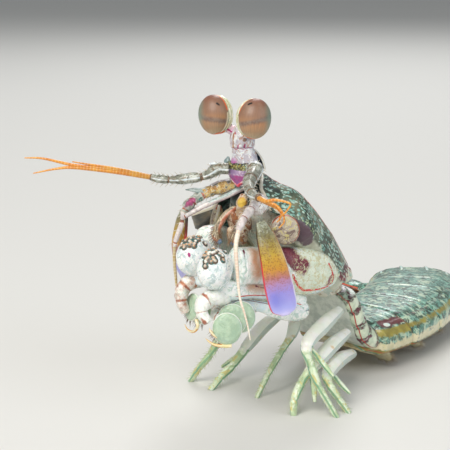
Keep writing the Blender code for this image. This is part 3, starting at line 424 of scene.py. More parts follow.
# Below the fold and all over the inside the shell has little pigment and shows tan and grey.
hem_tone = add(tree, "ValToRGB", {"Fac": worn},
               stops=[(0.38, "#A3A38E"), (0.5, "#BFC2AE"), (0.64, "#DAD9C6")])
smoke_tone = add(tree, "ValToRGB", {"Fac": worn},
                 stops=[(0.38, "#4E4D47"), (0.5, "#6C6A61"), (0.64, "#9A8A69")])
hem_tone = add(tree, "Mix", {0: smoke, 6: hem_tone, 7: smoke_tone}, 2, data_type="RGBA")
faint = add(tree, "Math", {0: dash, 1: 0.6}, operation="MULTIPLY")
lining = add(tree, "Mix", {0: faint, 6: tint("#2A3A35"), 7: tint("#5F8C80")}, 2, data_type="RGBA")
colour = ground
for held, over in ((dash, tone), (reach, hind_dash), (speck, speck_tone), (inside, lining), (wall, hem_tone)):
    colour = add(tree, "Mix", {0: held, 6: colour, 7: over}, 2, data_type="RGBA")
for mark, low, high, code in (("wine", 0.62, 0.74, "#57424A"), ("bar", 0.7, 0.8, "#332A26"),
                              ("pale", 0.6, 0.8, "#E3DCC8"), ("red", 0.75, 0.95, SHELL_RED)):
    held = add(tree, "Attribute", {}, "Fac", attribute_name=mark)
    broken = add(tree, "Math", {0: ragged, 1: 0.5, 2: held}, operation="MULTIPLY_ADD")
    held = add(tree, "MapRange", {"Value": broken, 1: low, 2: high}, interpolation_type="SMOOTHSTEP")
    colour = add(tree, "Mix", {0: held, 6: colour, 7: tint(code)}, 2, data_type="RGBA")
height = add(tree, "Math", {0: fine, 1: 0.5, 2: dash}, operation="MULTIPLY_ADD")
grain = add(tree, "Bump", {"Height": height, "Strength": 0.35, "Distance": 0.05 * MM})
gloss = add(tree, "MapRange", {"Value": ragged, 3: 0.28, 4: 0.46})
for socket, value in (("Base Color", colour), ("Normal", grain), ("Roughness", gloss)):
    tree.links.new(value, shader.inputs[socket])
shell_plate = plate(shell, shell - normals * SKIN, marks, 0.8)
along = shell_plate["uv"][..., 1]
along += DASHES_CLOSER * np.minimum(along - DASHES_GROW_TO, 0)
build("carapace", shell_plate, dashed_shell)


# The rostral plate: a short broad shield hinged to the front edge of the carapace, behind the neck. It is
# thin enough to let dark water show through, and only its curved rim is thick and white.
PLATE_HALF, PLATE_TALL, PLATE_THICK = 1.58, 1.75, 0.45
u, v = np.meshgrid(np.linspace(0, 1, 44), np.linspace(-1, 1, 61), indexing="ij")
half = PLATE_HALF * np.maximum(1 - (0.96 * u) ** 2, 0) ** 0.75
front = np.stack([half * v, 1.55 - 0.35 * u - 0.3 * (half * v / PLATE_HALF) ** 2, 22.45 + PLATE_TALL * u], -1)
rim_in = np.minimum(half * (1 - abs(v)), PLATE_TALL * (1 - u))
marks = {"rim": step(rim_in, 0.1, 0.05), "raise": 0.03 * step(rim_in, 0.12, 0.04)}

# Thin clear cuticle, wet: blue-black where light goes through it, chalk white at the rim.
plate_cuticle, tree, shader, place = finish("clear_plate", "#1D2C3C", 0.22, coat=0.5, glow=0.1)
worn = add(tree, "TexNoise", {"Vector": place, "Scale": 1.4, "Detail": 4.0})
deep = add(tree, "ValToRGB", {"Fac": worn}, stops=[(0.35, "#162230"), (0.55, "#2B3B4A"), (0.7, "#5C6A66")])
held = add(tree, "Attribute", {}, "Fac", attribute_name="rim")
edge = add(tree, "Math", {0: worn, 1: 0.3, 2: held}, operation="MULTIPLY_ADD")
edge = add(tree, "MapRange", {"Value": edge, 1: 0.5, 2: 0.75})
colour = add(tree, "Mix", {0: edge, 6: deep, 7: tint("#EFEBDD")}, 2, data_type="RGBA")
grain = add(tree, "Bump", {"Height": worn, "Strength": 0.2, "Distance": 0.05 * MM})
for socket, value in (("Base Color", colour), ("Normal", grain)):
    tree.links.new(value, shader.inputs[socket])
build("rostral_plate", plate(front, front - (0, PLATE_THICK, 0), marks, 0.6), plate_cuticle)


# The body under the carapace, from behind the feelers to the last covered somite, and the short ring at its
# front that carries the feelers. It is soft joint skin over muscle: pale, damp and a little see-through, with
# a brown speckled band and a magenta wedge below the neck.
HEAD_LINE = [(-13.7, 14.3), (-11.5, 14.1), (-7.0, 13.9), (-2.0, 14.0), (0.45, 14.1)]  # along it, up out of it
HEAD_WIDE, HEAD_DEEP = [1.9, 3.1, 3.5, 3.6, 3.5], [1.3, 1.6, 1.55, 1.5, 1.4]


def smooth_spread(values, count):
    """The values at even steps, on a smooth line read off at count places."""
    return curve_through(np.array(values, float)[:, None], count)[:, 0]


def sweep(path, widths, heights=None, up=(0, 0, 1), steps=60, sides=36, square=1.0, bend=0.0):
    """Rings along a smooth path, half widths across it and half heights towards up. It gives the grid and,
    for each point, how far along it is and its turn: c is 1 at the side and s is 1 at the top."""
    line = curve_through(path, steps)
    wide = smooth_spread(widths, steps)
    high = wide if heights is None else smooth_spread(heights, steps)
    along = unit(np.gradient(line, axis=0))
    side = unit(np.cross(along, up))
    lift = np.cross(side, along)
    turn = np.linspace(0, 2 * math.pi, sides, endpoint=False) + 0.5 * math.pi
    c, s = np.cos(turn), np.sin(turn)
    fat_c, fat_s = np.sign(c) * abs(c) ** square, np.sign(s) * abs(s) ** square
    grid = line[:, None] + side[:, None] * (wide[:, None] * fat_c)[..., None]
    grid = grid + lift[:, None] * (high[:, None] * fat_s - bend * fat_c**2)[..., None]
    t = np.broadcast_to(np.linspace(0, 1, steps)[:, None], (steps, sides))
    return grid, t, np.broadcast_to(c, (steps, sides)), np.broadcast_to(s, (steps, sides))


def closed(grid, marks=None, bulge=0.12):
    """A closed form round a grid of rings, each end domed out by that much."""
    marks = {k: np.broadcast_to(np.asarray(m, float), grid.shape[:2]) for k, m in (marks or {}).items()}
    bulges = bulge if isinstance(bulge, tuple) else (bulge, bulge)
    for at, inner, out in ((0, 1, bulges[0]), (-1, -2, bulges[1])):
        ring, middle = grid[at], grid[at].mean(0)
        away = unit(middle - grid[inner].mean(0))
        turns = np.radians([30, 55, 74, 86])
        dome = [middle + (ring - middle) * math.cos(a) + away * out * math.sin(a) for a in turns]
        dome = np.array(dome if at else dome[::-1])
        grid = np.concatenate([grid, dome] if at else [dome, grid])
        for k, m in marks.items():
            same = np.repeat(m[at][None], 4, 0)
            marks[k] = np.concatenate([m, same] if at else [same, m])
    quads, uv = stitched(grid, wrapped=True)
    around, rows = grid.shape[1], grid.shape[0]
    lids = [list(range(around))[::-1], list(range((rows - 1) * around, rows * around))]
    marks = {k: m.ravel() for k, m in marks.items()}
    return outward({"points": grid.reshape(-1, 3), "quads": quads, "uv": uv, "lids": lids, "marks": marks})


def cuticle(name, ground, cloud_mm, flecks=(), zones=(), rough=0.36, coat=0.3, glow=0.15, grain_mm=0.14,
            relief=0.25):
    """Wet cuticle. ground is two colours that cloud into each other over cloud_mm. Each fleck is (colour, mm
    across, share of the surface), or has a mark as well that it lies over. Each zone is (mark, colour, colour
    of its clouds, raggedness), with the softness of its edge if that isn't crisp."""
    material, tree, shader, place = finish(name, ground[0], rough, coat=coat, glow=glow)
    broad = add(tree, "TexNoise", {"Vector": place, "Scale": 1 / cloud_mm, "Detail": 4.0, "Roughness": 0.6})
    ragged = add(tree, "TexNoise", {"Vector": place, "Scale": 1.6, "Detail": 5.0, "Roughness": 0.7})
    colour = add(tree, "ValToRGB", {"Fac": broad}, stops=[(0.38, ground[0]), (0.62, ground[1])])
    spread_flecks, held_flecks = ([spot for spot in flecks if len(spot) == size] for size in (3, 4))
    for layer in [*spread_flecks, *zones, *held_flecks]:
        if layer in zones:
            mark, code, core, spread, *soft = layer
            soft = soft[0] if soft else 0.08
            held = add(tree, "Attribute", {}, "Fac", attribute_name=mark)
            held = add(tree, "Math", {0: ragged, 1: spread, 2: held}, operation="MULTIPLY_ADD")
            half = 0.5 + spread / 2
            held = add(tree, "MapRange", {"Value": held, 1: half - soft, 2: half + soft},
                       interpolation_type="SMOOTHSTEP")
            tone = add(tree, "ValToRGB", {"Fac": broad}, stops=[(0.42, code), (0.6, core)])
            colour = add(tree, "Mix", {0: held, 6: colour, 7: tone}, 2, data_type="RGBA")
            continue
        code, across, share = layer[:3]
        spot = {"Vector": place, "Scale": 0.6 / across, "Detail": 3.0, "Roughness": 0.7, "Distortion": 0.8}
        spot = add(tree, "TexNoise", spot)
        edge = 0.66 - 0.3 * share
        spot = add(tree, "MapRange", {"Value": spot, 1: edge - 0.03, 2: edge + 0.03},
                   interpolation_type="SMOOTHSTEP")
        if len(layer) == 4:
            over = add(tree, "Attribute", {}, "Fac", attribute_name=layer[3])
            over = add(tree, "MapRange", {"Value": over, 1: 0.2, 2: 0.5})
            spot = add(tree, "Math", {0: spot, 1: over}, operation="MULTIPLY")
        colour = add(tree, "Mix", {0: spot, 6: colour, 7: tint(code)}, 2, data_type="RGBA")
    grain = add(tree, "TexVoronoi", {"Vector": place, "Scale": 1 / grain_mm}, "Distance")
    height = add(tree, "Math", {0: broad, 1: 2.0, 2: grain}, operation="MULTIPLY_ADD")
    grain = add(tree, "Bump", {"Height": height, "Strength": relief, "Distance": 0.05 * MM})
    gloss = add(tree, "MapRange", {"Value": ragged, 3: rough - 0.1, 4: rough + 0.12})
    for socket, value in (("Base Color", colour), ("Normal", grain), ("Roughness", gloss)):
        tree.links.new(value, shader.inputs[socket])
    return material


grid, t, c, s = sweep([fore(a, 0.0, b) for a, b in HEAD_LINE], HEAD_WIDE, HEAD_DEEP, up=fore(0, 0, 1),
                      steps=90, sides=72)
marks = {
    "flank": step(c, -0.2, -0.75) * step(t, 0.2, 0.3),
    "bar": near(grid, [(3.1, 1.9, 17.6), (3.2, 2.9, 16.7), (3.3, 3.8, 15.6)], 0.16),
    "pale": near(grid, [(3.2, 3.2, 16.0), (3.4, 4.9, 14.7)], 0.45),
    "dark": step(t, 0.16, 0.02),
    "raise": 0.05 * np.sin(t * 2 * math.pi * 7) * step(abs(c), 0.3, 0.8) + 0.03 * cloud(grid, 0.6),
}
body_skin = cuticle("joint_skin", ("#DDDDD0", "#F0EEE2"), 1.3,
                    [("#BFB49C", 0.5, 0.25), ("#C9D6CC", 0.8, 0.3)],
                    [("flank", "#A8A08C", "#C3BCA4", 0.5), ("pale", "#EDE7D6", "#D8D3BE", 0.6),
                     ("bar", "#3A2A2C", "#5A4640", 0.3), ("dark", "#2E3A36", "#4E5A54", 0.8)],
                    rough=0.4, glow=0.3)
build("head", closed(grid, marks, 0.3), body_skin)

grid, t, c, s = sweep([(0, -0.32, 23.02), (0, -0.42, 22.5), (0, -0.62, 21.75), (0, -0.72, 21.0)],
                      [1.62, 1.9, 1.3, 0.35], [0.7, 0.85, 0.6, 0.3], up=(0, -1, 0), steps=60, sides=80)
WEDGE_RIGHT = [(-1.8, -0.75, 22.5), (-1.2, -1.1, 21.75), (0.0, -1.0, 21.0)]
WEDGE_LEFT = [(-x, y, z) for x, y, z in WEDGE_RIGHT]
margin = np.maximum(near(grid, WEDGE_LEFT, 0.12), near(grid, WEDGE_RIGHT, 0.12))
marks = {
    "band": step(grid[..., 2] + 0.06 * cloud(grid, 0.3), 22.42, 22.52),
    "line": hill(grid[..., 2], 23.0, 0.07) * step(s, 0.0, 0.3),
    "wedge": step(grid[..., 2], 22.3, 21.7) * step(abs(grid[..., 0]), 1.3, 0.7) * step(s, 0.0, 0.3),
    "margin": margin,
    "raise": 0.1 * margin + 0.03 * cloud(grid, 0.3),
}
band_flecks = [("#A9A05A", 0.16, 0.5, "band"), ("#8FB0A4", 0.2, 0.35, "band"), ("#2E2A22", 0.14, 0.4, "band")]
somite_skin = cuticle("speckled_joint_skin", ("#AE93B4", "#9478A2"), 0.6,
                      [("#CDBBCF", 0.35, 0.4)] + band_flecks,
                      [("wedge", "#A23C7E", "#86568F", 0.9, 0.25), ("margin", "#EBD8D6", "#D9485A", 0.6),
                       ("band", "#5A5438", "#403C28", 0.4), ("line", "#3A2A30", "#5A2A40", 0.4),
                       ("ear", "#8FA5A6", "#6E8484", 0.4)], rough=0.3, glow=0.2)
forms = [closed(grid, marks)]
# An ear-shaped process stands up and out on each side of it, grey-teal and edged with pale and red.
for way, lift in ((1, 0.0), (-1, 0.25)):
    path = [(1.5 * way, -0.35, 22.2 + lift), (1.9 * way, -0.25, 22.6 + lift), (1.9 * way, -0.2, 23.05 + lift)]
    ear, t, c, s = sweep(path, [0.4, 0.42, 0.16], [0.25, 0.28, 0.12], up=(0, -1, 0), steps=40, sides=40)
    forms.append(closed(ear, {"ear": 1, "margin": step(abs(c), 0.8, 0.97), "raise": 0.02 * cloud(ear, 0.3)}))
build("antennular_somite", forms, somite_skin)


# The neck: the last free ring of the head, a tapered column of pale cuticle that carries both eyes. It is
# streaked with magenta along its folds and stained along its foot.
grid, t, c, s = sweep([(0.2, -0.3, 23.1), (0.16, -0.3, 23.6), (0.05, -0.33, 24.3), (-0.02, -0.35, 25.1),
                       (-0.12, -0.32, 25.8), (-0.3, -0.3, 26.35)],
                      [1.5, 1.36, 1.16, 1.24, 1.02, 0.5], [0.85, 0.8, 0.75, 0.78, 0.66, 0.4], up=(0, -1, 0),
                      steps=100, sides=90)
FOLDS = [
    [(-1.15, -0.6, 25.1), (-1.1, -0.6, 24.6), (-0.95, -0.8, 24.25)],
    [(0.15, -1.1, 24.5), (0.3, -1.0, 25.0), (0.1, -0.9, 25.7)],
    [(-0.5, -0.9, 26.0), (-0.2, -1.0, 25.75), (0.2, -0.9, 25.6)],
    [(0.75, -0.95, 24.6), (0.85, -0.8, 25.1)],
]
AMBER_LINE = [(-0.45, -1.0, 25.8), (-0.35, -1.1, 25.2), (-0.4, -1.1, 24.5)]
SHADE_LINE = [(-0.9, -0.75, 25.5), (-1.0, -0.7, 24.8)]
fold = np.max([near(grid, line, 0.09) for line in FOLDS], axis=0)
neck_streaks = cloud(grid * (3.0, 3.0, 0.5), 1.0)
marks = {
    "fold": fold * (0.75 + 0.25 * step(neck_streaks, -0.2, 0.2)),
    "foot": step(grid[..., 2], 23.9, 23.1) * step(grid[..., 0], 0.6, -0.4) * 0.8,
    "scallop": hill(t, 0.44 + 0.02 * np.sin(9 * c), 0.011) * step(s, -0.2, 0.1),
    "amber": near(grid, AMBER_LINE, 0.11) * (neck_streaks > -0.2),
    "shade": near(grid, [(0.75, -0.85, 25.3)], 0.2) + near(grid, SHADE_LINE, 0.14),
    "raise": (0.05 * cloud(grid, 0.45) + 0.05 * np.sin(8 * c) * (1 - t) - 0.06 * fold
              + 0.1 * step(t, 0.44, 0.48) + 0.04 * np.sin(5 * c + 1) * step(t, 0.48, 0.6)
              + 0.03 * neck_streaks),
}
neck_skin = cuticle("neck_cuticle", ("#CBC6CB", "#AFABB8"), 0.5,
                    [("#E1E6E8", 0.4, 0.42), ("#B8978C", 0.22, 0.25)],
                    [("shade", "#8E6E5C", "#6A5A64", 0.9), ("amber", "#B98A52", "#9C6A48", 0.6),
                     ("fold", "#B92E6B", "#8E2C5C", 0.7), ("scallop", "#C05A84", "#9C4A74", 0.9),
                     ("foot", "#BC62A4", "#C08AB8", 0.9, 0.3)], rough=0.3, coat=0.4, glow=0.25)
build("ocular_somite", closed(grid, marks, 0.1), neck_skin)


# The eyes: each is an upright egg of hundreds of small facets on a short movable stalk, cut across by a
# darker band of large facets. The stalk opens into a pale cup that holds the facets by a narrow orange rim.
EYES = {
    "l": {"centre": (2.45, -1.5, 27.42), "axis": (0.86, -0.50, 0.10), "lean": 0.16, "root": (0.3, -0.3, 25.8),
          "outer": (0.74, 0.67, 0.0), "slope": 0.2, "band": -0.1, "pupil": (2.55, -2.25, 28.82),
          "slit": (0.12, 0.05)},
    "r": {"centre": (-2.5, -1.45, 27.35), "axis": (0.10, -0.99, 0.10), "lean": -0.21,
          "root": (-0.6, -0.3, 25.75), "outer": (-0.74, -0.67, 0.0), "slope": 0.12, "band": -0.3,
          "pupil": (-1.58, -1.91, 28.4), "slit": (-0.09, 0.08)},
}
EYE_RADII = (1.5, 1.82, 1.3)  # across, tall, deep
LEANS_TO = np.array([0.743, 0.669])  # towards the animal's left and back
CUP_RADII = (1.44, 1.75, 1.35)
FACET = 0.11  # mm across, as drawn


def egg(centre, radii, axis, up, low, high, rows=60, sides=96):
    """Rings of an egg from low to high degrees to its axis, and each point's place across, up and out."""
    axis = unit(axis)
    side = unit(np.cross(axis, up))
    lift = np.cross(side, axis)
    tilt = np.radians(np.linspace(low, high, rows))[:, None]
    turn = np.linspace(0, 2 * math.pi, sides, endpoint=False)[None]
    x, y, z = np.cos(tilt) * np.cos(turn), np.cos(tilt) * np.sin(turn), np.sin(tilt) + 0 * turn
    grid = np.array(centre, float) + (side * (radii[0] * x)[..., None] + lift * (radii[1] * y)[..., None]
                                      + axis * (radii[2] * z)[..., None])
    return grid, x, y, z


# The cornea is clear cuticle cast over the facets: pinkish tan from the screening pigment under it, with a
# wet gloss. The facets are 0.04 mm across; they are drawn at 0.11 mm, as coarse as it takes to show.
cornea, tree, shader, place = finish("cornea", "#A97B60", 0.46, coat=0.12, glow=0.12, glow_mm=0.4)
upright, level, sideways, outer = (add(tree, "Attribute", {}, "Fac", attribute_name=mark)
                                   for mark in ("upright", "level", "sideways", "outer"))
lines = add(tree, "CombineXYZ", {"X": sideways, "Y": upright})
stretched = add(tree, "VectorMath", {0: lines, 1: (9.0, 0.7, 1.0)}, operation="MULTIPLY")
streak = add(tree, "TexNoise", {"Vector": stretched, "Scale": 1.0, "Detail": 3.0})
worn = add(tree, "TexNoise", {"Vector": place, "Scale": 1.1, "Detail": 3.0})
low_high = add(tree, "MapRange", {"Value": upright, 1: -1.8, 2: 1.8})
tan = add(tree, "ValToRGB", {"Fac": low_high},
          stops=[(0.02, "#C7B294"), (0.16, "#B08C6A"), (0.36, "#B4845C"), (0.55, "#96715A"),
                 (0.78, "#8C6650"), (0.97, "#84503C")])
for held, low, high, code in ((streak, 0.42, 0.62, "#77604F"), (worn, 0.5, 0.7, "#9F8C78")):
    held = add(tree, "MapRange", {"Value": held, 1: low, 2: high, 4: 0.3})
    tan = add(tree, "Mix", {0: held, 6: tan, 7: tint(code)}, 2, data_type="RGBA")
wander = add(tree, "Math", {0: streak, 1: 0.14, 2: level}, operation="MULTIPLY_ADD")
wander = add(tree, "Math", {0: worn, 1: 0.2, 2: wander}, operation="MULTIPLY_ADD")
band = add(tree, "Math", {0: wander, 1: -0.17}, operation="ADD")
band = add(tree, "Math", {0: band}, operation="ABSOLUTE")
band = add(tree, "MapRange", {"Value": band, 1: 0.38, 2: 0.04, 4: 0.72}, interpolation_type="SMOOTHSTEP")
mottle = add(tree, "TexNoise", {"Vector": place, "Scale": 2.6, "Detail": 2.0})
mauve = add(tree, "ValToRGB", {"Fac": mottle}, stops=[(0.38, "#5E4E50"), (0.6, "#7C736C")])
colour = add(tree, "Mix", {0: band, 6: tan, 7: mauve}, 2, data_type="RGBA")
# The pale teal towards each eye's outer side, read from the outer mark, is a painted rim reflection.
pale = add(tree, "MapRange", {"Value": outer, 1: 0.5, 2: 1.0, 4: 0.8}, interpolation_type="SMOOTHSTEP")
colour = add(tree, "Mix", {0: pale, 6: colour, 7: tint("#7E9484")}, 2, data_type="RGBA")
for mark, code in (("cream", "#E6D9BC"), ("ember", "#E5642C"), ("pupil", "#0B0A0C")):
    held = add(tree, "Attribute", {}, "Fac", attribute_name=mark)
    held = add(tree, "MapRange", {"Value": held, 1: 0.35, 2: 0.7}, interpolation_type="SMOOTHSTEP")
    colour = add(tree, "Mix", {0: held, 6: colour, 7: tint(code)}, 2, data_type="RGBA")
facets = add(tree, "TexVoronoi", {"Vector": place, "Scale": 1 / FACET, "Randomness": 0.3}, "Distance")
grain = add(tree, "Bump", {"Height": facets, "Strength": 0.08, "Distance": 0.02 * MM})
for socket, value in (("Base Color", colour), ("Normal", grain)):
    tree.links.new(value, shader.inputs[socket])

# The darker olive in the creases between the eye cup's ridges is painted shade.
cup_skin = cuticle("eye_cup", ("#E3DFB8", "#C9CBA2"), 0.7, [("#F4F0DA", 0.4, 0.45)],
                   [("stem", "#E6CBD6", "#C9A8BC", 0.4), ("fold", "#B92E6B", "#8E2C5C", 0.5),
                    ("crease", "#A7A584", "#8E9474", 0.6), ("ember", "#E0562A", "#F08A3C", 0.5)],
                   rough=0.3, coat=0.35, glow=0.3)

for side, eye in EYES.items():
    axis, centre, outer = unit(eye["axis"]), np.array(eye["centre"]), np.array(eye["outer"])
    up = (*(eye["lean"] * LEANS_TO), 1)
    grid, x, y, z = egg(centre, EYE_RADII, axis, up, -9, 84, rows=70, sides=110)
    over = (grid - centre) @ outer
    pupil, slit = np.array(eye["pupil"]), np.array([*(abs(outer[:2]) * eye["slit"][0]), eye["slit"][1]])
    marks = {
        "upright": y * EYE_RADII[1],
        "level": (grid - centre)[..., 2] - eye["slope"] * over - eye["band"],
        "sideways": np.arctan2(x, np.maximum(z, 0.02)) * 1.4,
        # outer: how far round to the eye's outer side, where the painted rim reflection lies
        "outer": np.clip(over / 1.45, 0, 1),
        "cream": step(z, 0.06, 0.0) * step(y, 0.2, -0.1) * step(over, 0.2, -0.3),
        "ember": np.maximum(step(z, 0.07, 0.0) * step(y, 0.0, 0.3),
                            step(z, 0.35, 0.1) * step(y, -0.88, -0.95)),
        "pupil": near(grid, [pupil - slit, pupil + slit], 0.11),
    }
    build("eye_" + side, closed(grid, marks, (0.02, 0.006)), cornea)
    grid, x, y, z = egg(centre - axis * 0.62, CUP_RADII, -axis, up, -30, 84, rows=70, sides=96)
    ridges = sum(hill(z, at, 0.035) for at in (-0.28, -0.05, 0.2))
    marks = {"ember": step(y, -0.78, -0.95) * step(z, 0.3, 0.0),
             # painted shade in the creases between the ridges
             "crease": hill(z, -0.16, 0.05) * 0.7 + hill(z, 0.08, 0.05) * 0.6,
             "raise": 0.03 * cloud(grid, 0.4) + 0.05 * ridges}
    cup = closed(grid, marks, (0.01, 0.006))
    root, back = np.array(eye["root"]), centre - axis * 1.05 - (0, 0, 0.75)
    grid, t, c, s = sweep([root - (0, 0, 0.4), root, 0.5 * (root + back) - axis * 0.05 - (0, 0, 0.1), back],
                          [0.4, 0.44, 0.46, 0.5], steps=30, sides=32)
    marks = {"stem": 1, "fold": step(abs(np.sin(2 * np.arctan2(s, c) + 3 * t)), 0.85, 0.98) * 0.8,
             "raise": 0.04 * cloud(grid, 0.3)}
    build("eyestalk_" + side, [cup, closed(grid, marks)], cup_skin)


# The antennules: three stout segments on each side, then three whips. Their cuticle is silvery brown with
# short stiff spines, and the whips are made of hundreds of rings, orange with pale joints.
ANTENNULES = {
    "l": ([(1.3, -0.1, 22.75), (1.75, -0.6, 22.75), (2.35, -1.5, 22.4), (3.44, -3.3, 22.07),
           (4.65, -4.76, 21.79), (6.18, -5.93, 21.57), (7.71, -6.99, 21.7)],
          [0.42, 0.6, 0.78, 0.66, 0.66, 0.56, 0.44, 0.48, 0.38, 0.34], (0.46, 0.78)),
    "r": ([(-0.97, -1.2, 22.45), (-1.72, -1.77, 22.45), (-2.64, -2.53, 21.8), (-4.3, -3.57, 21.44),
           (-5.38, -4.05, 21.3), (-6.37, -4.6, 21.35), (-7.0, -5.2, 21.5)],
          [0.5, 0.56, 0.58, 0.42, 0.5, 0.48, 0.36, 0.42, 0.4, 0.32], (0.36, 0.7)),
}
WHIPS = {
    "l": [[(7.6, -6.95, 21.7), (8.83, -7.13, 21.53), (9.63, -6.9, 21.26), (10.16, -6.74, 20.62),
           (10.25, -6.71, 19.95), (9.88, -6.92, 19.41)],
          [(7.6, -6.95, 21.7), (8.71, -7.24, 21.58), (9.5, -7.01, 21.77), (10.45, -6.72, 21.68),
           (10.83, -6.59, 21.46), (10.39, -6.77, 20.74), (9.95, -7.02, 20.29)],
          [(7.6, -6.95, 21.7), (8.59, -6.97, 21.39), (9.27, -6.61, 21.0), (9.71, -6.46, 20.6),
           (9.72, -6.6, 20.11), (9.5, -6.73, 19.84)]],
    "r": [[(-6.95, -5.15, 21.5), (-9.3, -7.5, 22.2), (-12.0, -10.0, 22.65), (-14.1, -12.0, 23.3),
           (-15.4, -13.1, 23.35)],
          [(-6.95, -5.15, 21.5), (-9.3, -7.6, 22.05), (-12.0, -10.1, 22.45), (-13.2, -11.3, 22.35),
           (-14.7, -12.7, 21.95)],
          [(-6.95, -5.15, 21.5), (-9.2, -7.4, 22.3), (-12.1, -10.2, 23.0)]],
}
WHIP_THICK = {"l": [0.24, 0.17, 0.11, 0.08, 0.07, 0.05], "r": [0.24, 0.19, 0.15, 0.1, 0.05]}
RING_LONG = 0.3  # mm from ring to ring of a whip


def hairs(roots, ways, bends, radius, steps=7, sides=5):
    """Tapered hairs as one form, each from its root along its way and bent by its own amount, in mm."""
    roots, ways, bends = (np.array(a, float).reshape(-1, 3) for a in (roots, ways, bends))
    t = np.linspace(0, 1, steps)[None, :, None]
    line = roots[:, None] + ways[:, None] * t + bends[:, None] * t**2
    along = unit(np.gradient(line, axis=1))
    side = unit(np.cross(along, (0.31, 0.17, 0.94)))
    turn = np.linspace(0, 2 * math.pi, sides, endpoint=False)[:, None]
    ring = side[:, :, None] * np.cos(turn) + np.cross(side, along)[:, :, None] * np.sin(turn)
    grid = line[:, :, None] + ring * (radius * (1 - 0.8 * t**1.5))[..., None]
    one = steps * sides
    quads, uv = stitched(grid[0], wrapped=True)
    lids = [list(range(sides))[::-1], list(range(one - sides, one))]
    first = outward({"points": grid[0].reshape(-1, 3), "quads": quads, "uv": uv, "lids": lids})
    many = np.arange(len(roots))[:, None, None] * one
    return {
        "points": grid.reshape(-1, 3), "quads": (first["quads"][None] + many).reshape(-1, 4),
        "uv": np.tile(first["uv"], (len(roots), 1, 1)),
        "lids": [[k + n * one for k in lid] for n in range(len(roots)) for lid in first["lids"]],
        "marks": {"hair": np.ones(len(roots) * one)},
    }


def bristles(grid, rows, start, every, out, lean, bend, radius, ahead=0):
    """Short hairs round those rings, so many mm out and along the limb, or along its next few rings."""
    roots, ways = [], []
    for i in rows:
        first, last = (grid[i], grid[i + ahead]) if ahead else (grid[0], grid[-1])
        along = unit(last.mean(0) - first.mean(0))
        for j in range(int(random.integers(0, start)), grid.shape[1], every):
            roots.append(grid[i, j])
            ways.append(unit(grid[i, j] - grid[i].mean(0)) * out + along * lean)
    return hairs(roots, ways, random.normal(0, bend, (len(roots), 3)), radius)


def whip(path, thick, steps=260, sides=14):
    """A tapered whip of rings; the mark ring runs from 0 to 1 along each one."""
    grid, t, c, s = sweep(path, thick, up=(0.05, 0.1, 1), steps=steps, sides=sides)
    gaps = np.linalg.norm(np.diff(curve_through(path, steps), axis=0), axis=1)
    long = np.concatenate([[0], np.cumsum(gaps)])
    ring = (long / RING_LONG % 1)[:, None]
    marks = {"ring": ring, "raise": 0.008 * step(ring, 0.0, 0.6) * (1 - 0.6 * t)}
    return closed(grid, marks, 0.04)


# The white zone is partly the cuticle's own white and partly a painted highlight along the underside and side
# edges.
stem_skin = cuticle("antennule_stem", ("#94978A", "#747668"), 0.6,
                    [("#B3B7AC", 0.5, 0.45), ("#7E6E58", 0.45, 0.26), ("#504E44", 0.3, 0.2)],
                    [("white", "#E9EDEC", "#D3DEE2", 0.7), ("joint", "#85664A", "#5E5040", 1.2),
                     ("blue", "#2F6FB8", "#6FA8DC", 0.4), ("hair", "#C9BFAE", "#C9BFAE", 0.0)],
                    rough=0.3, coat=0.35)


def whip_material(name, dark, light, seam):
    """Ringed cuticle, damp: each ring has a paler seam, and there is a little wear from ring to ring."""
    material, tree, shader, place = finish(name, dark, 0.34, coat=0.25, glow=0.3)
    ring = add(tree, "Attribute", {}, "Fac", attribute_name="ring")
    worn = add(tree, "TexNoise", {"Vector": place, "Scale": 0.9, "Detail": 3.0})
    tone = add(tree, "ValToRGB", {"Fac": worn}, stops=[(0.4, dark), (0.62, light)])
    pale = add(tree, "MapRange", {"Value": ring, 1: 0.62, 2: 0.9, 4: 0.5}, interpolation_type="SMOOTHSTEP")
    colour = add(tree, "Mix", {0: pale, 6: tone, 7: tint(seam)}, 2, data_type="RGBA")
    gloss = add(tree, "MapRange", {"Value": worn, 3: 0.25, 4: 0.45})
    for socket, value in (("Base Color", colour), ("Roughness", gloss)):
        tree.links.new(value, shader.inputs[socket])
    return material


orange_whip = whip_material("orange_whip", "#D27E24", "#E29C38", "#ECC488")
random = np.random.default_rng(7)
for side, (path, wide, joints) in ANTENNULES.items():
    grid, t, c, s = sweep(path, wide, up=(0, 0, 1), steps=130, sides=44)
    joint = np.max([hill(t, at, 0.014) for at in joints], axis=0)
    marks = {
        "joint": np.maximum(joint, step(t, 0.98, 1.0)),
        "raise": 0.05 * cloud(grid, 0.3) - 0.08 * joint,
        "blue": near(grid, [(3.9, -4.35, 21.75)], 0.3),
        # white along the underside and down both side edges is a painted highlight
        "white": step(s, -0.7, -0.9) + 0.6 * step(abs(c), 0.94, 1.0) + step(t, 0.36, 0.1) * (side == "l"),
    }
    spines = bristles(grid, range(20, 124, 9), start=4, every=9, out=0.28, lean=0.26, bend=0.04, radius=0.035)
    forms = [closed(grid, marks), spines]
    if side == "r":  # a blunt spine stands up from the first segment
        grid, t, c, s = sweep([(-1.4, -1.5, 22.5), (-1.85, -1.9, 22.88), (-2.2, -2.3, 22.97)],
                              [0.3, 0.22, 0.06], steps=30, sides=24)
        forms.append(closed(grid, {"white": step(t, 0.2, 0.6)}))
    build("antennule_" + side, forms, stem_skin)
    forms = [whip(line, WHIP_THICK[side]) for line in WHIPS[side]]
    build("antennule_flagella_" + side, forms, orange_whip)


